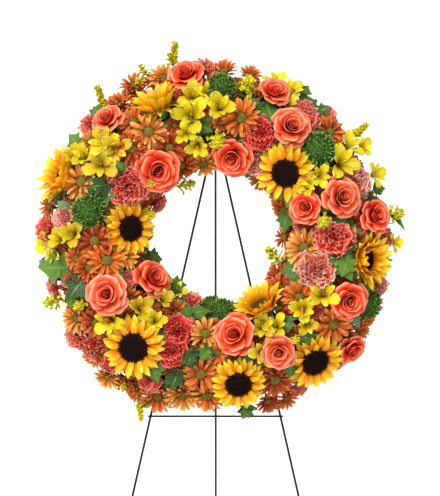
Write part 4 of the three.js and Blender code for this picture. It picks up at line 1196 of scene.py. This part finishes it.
def planted(bloom):
    """The finished copies of one bloom, its head and stem, and where and how the head stands."""
    kind, spot = bloom["kind"], bloom["plan"][:2]
    centre, facing, radius, form = head_place(bloom)
    colours = TONE_CODES[bloom["tone"]]
    spin = chance.uniform(0, 2 * math.pi)
    place = head_frame(centre, facing, UP, spin, radius)
    base = centre - facing * radius * STEM_START.get(kind, USUAL_STEM_START)
    if bloom["plan"] in GREEN_BALLS:
        place = head_frame(centre, facing, UP, spin, radius * BALL_SHARE)
        parts = [copy_of(ball_model, place, colours=TONE_CODES["moss_green"])]
    elif kind == "greenery":
        parts = planted_leaves(bloom, centre, facing, radius)
    elif kind == "goldenrod":
        model = spire_model if spot in SPIRES else chance.choice(plume_models)
        parts = [copy_of(model, place, colours=colours)]
    elif kind == "sunflower":
        parts = [copy_of(chance.choice(ray_models[form]), place, colours=colours)]
    else:
        model = chosen_model(bloom)
        nod = Vector([chance.gauss(0, NOD) for _ in range(3)])
        parts = [copy_of(model, head_frame(centre, facing + nod, UP, spin, radius), colours=colours)]
    parts.append(stem_to_foam(base, bloom["clock"], bloom["over"], STEM_RADIUS[kind] * MM))
    return parts, centre, facing, spin, radius


print("one bloom can be planted")

# %% [markdown]
# All blooms of a spray are joined into one piece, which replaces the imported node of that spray.
# A sunflower becomes two pieces, its rows of rays and its seed head.

# %% Planting the sprays
CUPPED_SEED_SHARE = 0.80  # a head that is still cupped has a smaller seed head
PIECE_NAMES = {
    "roses": ("blooms", "rose_petal"), "carnations": ("blooms", "carnation_petal"),
    "daisies": ("blooms", "daisy_petal"), "alstroemeria": ("blooms", "alstroemeria_petal"),
    "goldenrod": ("plumes", "goldenrod_floret"), "greenery": ("leaves", "leaf_green"),
}


def piece(parts, name, nodes):
    """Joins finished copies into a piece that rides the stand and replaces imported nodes."""
    whole = joined(name, parts)
    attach(whole, "stand")
    if nodes:
        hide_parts(*nodes)
    return whole


def sunflower_pieces(spray, bloom):
    parts, centre, facing, spin, radius = planted(bloom)
    spot = bloom["plan"][:2]
    model = young_seed_model if spot == YOUNG_SUNFLOWER else seed_model
    seed_radius = radius * (CUPPED_SEED_SHARE if spot in CUPPED_SUNFLOWERS else 1.0)
    seeds = copy_of(model, head_frame(centre, facing, UP, spin, seed_radius))
    petals, disc = f"sunflower_{spray}_petals", f"sunflower_{spray}_disc"
    return [piece(parts, f"sunflower_{spray}_petal_rows", [petals]),
            piece([seeds], f"sunflower_{spray}_seed_head",
                  [disc if disc in frame["nodes"] else petals])]


sprays = {}
for bloom in blooms:
    sprays.setdefault((bloom["kind"], bloom["spray"]), []).append(bloom)

face_count = 0
for (kind, spray), own in sorted(sprays.items()):
    if kind == "sunflower":
        made = sunflower_pieces(spray, own[0])
    else:
        word, slot = PIECE_NAMES[kind]
        parts = [part for bloom in own for part in planted(bloom)[0]]
        made = [piece(parts, f"{kind}_{spray}_{word}", [f"{kind}_{spray}"])]
    face_count += sum(map(faces, made))
print(len(sprays), "sprays planted,", face_count, "faces")

# %% [markdown]
# The photograph shows hardly any gap: the florist fills up with more small chrysanthemums and a
# few carnations. First come those that close the rim where the photograph shows blooms. The
# others are put, one after another, where the arch is barest, a little deeper than the planned
# blooms, until no gap is left that is wider than a small head.

# %% What fills the gaps
FILLER_COUNT = 215
FILLER_PIECES = 3
FILLER_DEPTH = 9 * MM
FILLER_RIM = 0.9  # leaves further over the arch than this angle, in radians, point outwards
FILLER_RADII = (19 * MM, 28 * MM)  # the smallest and the largest
FILLER_SPREAD = {"daisies": 1.5, "carnations": 1.1, "greenery": 1.5}  # radius in parts of the gap
SMALLEST_GAP = 3 * MM
HEAD_COVER = 0.74  # the part of a head's radius that hides what is under it
SPOT_COUNT = 5000
SPOTS_FROM, SPOTS_REACH = -78, 162  # degrees over the arch, from the hole's side to the rim
SPOT_STEP = 0.7548777  # steps of this part of a round spread evenly beside the golden angle
# Kinds and tones that the filling blooms take in turn
FILLER_KINDS = [
    ("daisies", "bronze"), ("daisies", "rust"), ("daisies", "bronze"), ("carnations", "red_coral"),
    ("daisies", "orange"), ("daisies", "bronze"), ("greenery", "ivy"), ("daisies", "rust"),
]
# Filling blooms that close the rim: degrees, distance and radius as in the plan, kind and tone
RIM_FILLERS = [
    (226, 318, 25, "daisies", "bronze"), (213, 320, 24, "daisies", "rust"),
    (220, 303, 22, "carnations", "deep_red"), (207, 330, 18, "daisies", "bronze"),
    (122, 321, 23, "daisies", "bronze"), (126, 304, 22, "daisies", "rust"),
    (135, 320, 21, "carnations", "red_coral"), (117, 326, 18, "daisies", "orange"),
    (331, 312, 23, "daisies", "bronze"), (338, 318, 21, "daisies", "rust"),
    (324, 322, 18, "daisies", "bronze"), (289, 318, 18, "daisies", "bronze"),
]
FILLER_NAMES = {
    "daisies": ("filling_chrysanthemums", "daisy_petal"),
    "carnations": ("filling_carnations", "carnation_petal"), "greenery": ("filling_leaves", "leaf_green"),
}
print(len(RIM_FILLERS), "filling blooms for the rim")

# %% [markdown]
# Possible places are spread evenly over the arch. The room at a place is how far it is from what
# the nearest heads hide, and the next filling bloom always goes where there is most room.

# %% Filling blooms
fillers = {}


def add_filler(bloom):
    """Plants a filling bloom with the others of its kind; the daisies go by thirds of the ring."""
    third = int(bloom["clock"] % (2 * math.pi) / (2 * math.pi) * FILLER_PIECES) + 1
    key = (bloom["kind"], third if bloom["kind"] == "daisies" else 1)
    fillers.setdefault(key, []).extend(planted(bloom)[0])


spots = []
for i in range(SPOT_COUNT):
    clock = i * GOLDEN_TURN
    over = math.radians(SPOTS_FROM + SPOTS_REACH * ((i * SPOT_STEP) % 1))
    spots.append((clock, over, arch_point(clock, over, ARCH_RADIUS)))
heads = [(head_point(bloom), bloom["radius"]) for bloom in blooms]
for degrees, distance, radius, kind, tone in RIM_FILLERS:
    bloom = planned(kind, (degrees, distance, radius))
    add_filler({**bloom, "plan": (0, distance, 0), "tone": tone})
    heads.append((head_point(bloom), bloom["radius"]))
room = [min((place - centre).length - HEAD_COVER * radius for centre, radius in heads)
        for _, _, place in spots]
for number in range(FILLER_COUNT):
    best = max(range(len(spots)), key=room.__getitem__)
    if room[best] < SMALLEST_GAP:
        break
    clock, over, place = spots[best]
    kind, tone = FILLER_KINDS[number % len(FILLER_KINDS)]
    radius = min(max(FILLER_SPREAD[kind] * room[best], FILLER_RADII[0]), FILLER_RADII[1])
    distance = RIM_DISTANCE if over > FILLER_RIM else INNER_DISTANCE
    add_filler({"kind": kind, "plan": (0, distance, 0), "clock": clock, "over": over,
                "away": ARCH_RADIUS - FILLER_DEPTH, "radius": radius / SIZE[kind], "tone": tone})
    room = [min(old, (spot[2] - place).length - HEAD_COVER * radius) for old, spot in zip(room, spots)]
for (kind, third), parts in fillers.items():
    name, slot = FILLER_NAMES[kind]
    made = piece(parts, f"{name}_{third}", [])
    print(made.name, faces(made), "faces")

# %% [markdown]
# Behind the blooms the florist covers the foam with short leaves, which give the dark gaps. They
# are strewn evenly over the arch, under the heads. Rings of leaves past the foam's edges back
# the blooms at the rim and round the hole.

# %% Foam cover
COVER_ROWS = 9
COVER_FROM, COVER_REACH = -74, 158  # degrees over the arch, from the hole's side to the rim
COVER_SPACING = 24.7 * MM
COVER_RADIUS = 60 * MM
COVER_TONES = ("dark_leaf", "dark_leaf", "dark_leaf", "ivy")
BACKING_TONES = ("dark_leaf", "dark_leaf", "ivy")
# Rings of leaves that back the blooms past the foam: radius, place in front of the legs, spacing
BACKING_RINGS = [(272 * MM, 34 * MM, 17 * MM), (290 * MM, 46 * MM, 18 * MM), (163 * MM, 36 * MM, 16 * MM),
                 (150 * MM, 50 * MM, 17 * MM)]
cover = []
for row in range(COVER_ROWS):
    over = math.radians(COVER_FROM + COVER_REACH * row / (COVER_ROWS - 1))
    out = RING_RADIUS + COVER_RADIUS * math.sin(over)
    count = round(2 * math.pi * out / COVER_SPACING)
    for i in range(count):
        clock = (i + 0.5 * (row % 2) + chance.uniform(-0.3, 0.3)) * 2 * math.pi / count
        lean = over + chance.uniform(-0.12, 0.12)
        away = chance.uniform(50, 74) * MM
        centre = arch_point(clock, min(lean, math.radians(86)), away)
        normal = (arch_point(clock, lean, away + 1) - centre).normalized()
        size = chance.uniform(13, 21) * MM
        model = leaf_models[chance.choice(("ivy", "oval", "oval"))]
        place = head_frame(centre, normal, UP, chance.uniform(0, 6.28), size)
        place = place @ leaf_lay(chance.uniform(45, 80), 2.1)
        cover.append(copy_of(model, place, colours=TONE_CODES[chance.choice(COVER_TONES)]))
for out, front, step in BACKING_RINGS:
    count = round(2 * math.pi * out / step)
    for i in range(count):
        clock = (i + chance.uniform(-0.3, 0.3)) * 2 * math.pi / count
        radial = outwards(clock)
        centre = WREATH_CENTRE + radial * out + FRONT * (front + chance.uniform(-4 * MM, 4 * MM))
        facing = (FRONT + radial * math.copysign(0.4, out - RING_RADIUS)).normalized()
        size = chance.uniform(17, 24) * MM
        place = head_frame(centre, facing, radial, chance.uniform(-0.8, 0.8), size)
        place = place @ leaf_lay(chance.uniform(70, 88), 2.0)
        model = leaf_models[chance.choice(("ivy", "oval"))]
        cover.append(copy_of(model, place, colours=TONE_CODES[chance.choice(BACKING_TONES)]))
foam_cover = piece(cover, "foam_cover_leaves", [])
print("cover leaves:", faces(foam_cover), "faces")

# %% [markdown]
# A few small leaves and sprigs that show in the photograph are added where they are seen.

# %% Small greens
for kind, plans, name, slot in (("greenery", SMALL_LEAVES, "small_leaves", "leaf_green"),
                                ("goldenrod", SMALL_SPRIGS, "small_goldenrod_sprigs", "goldenrod_floret")):
    parts = [part for plan in plans for part in planted(planned(kind, plan))[0]]
    small = piece(parts, name, [])
    print(small.name, faces(small), "faces")

# %% [markdown]
# The models that were copied are taken away, and how far the box of what shows grows past the
# packed box is printed, so that the two sizes can be compared.

# %% Tidy up and finish
for thing in [o for o in bpy.data.objects if o.type == "MESH"]:
    if "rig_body" not in thing and "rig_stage" not in thing and thing.name not in frame["nodes"]:
        bpy.data.objects.remove(thing)
low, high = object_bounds()
growth = [round((a - b) * 1000) for a, b in zip([*cad_low, *high], [*low, *cad_high])]
print("box grows by", growth[:3], growth[3:], "mm")
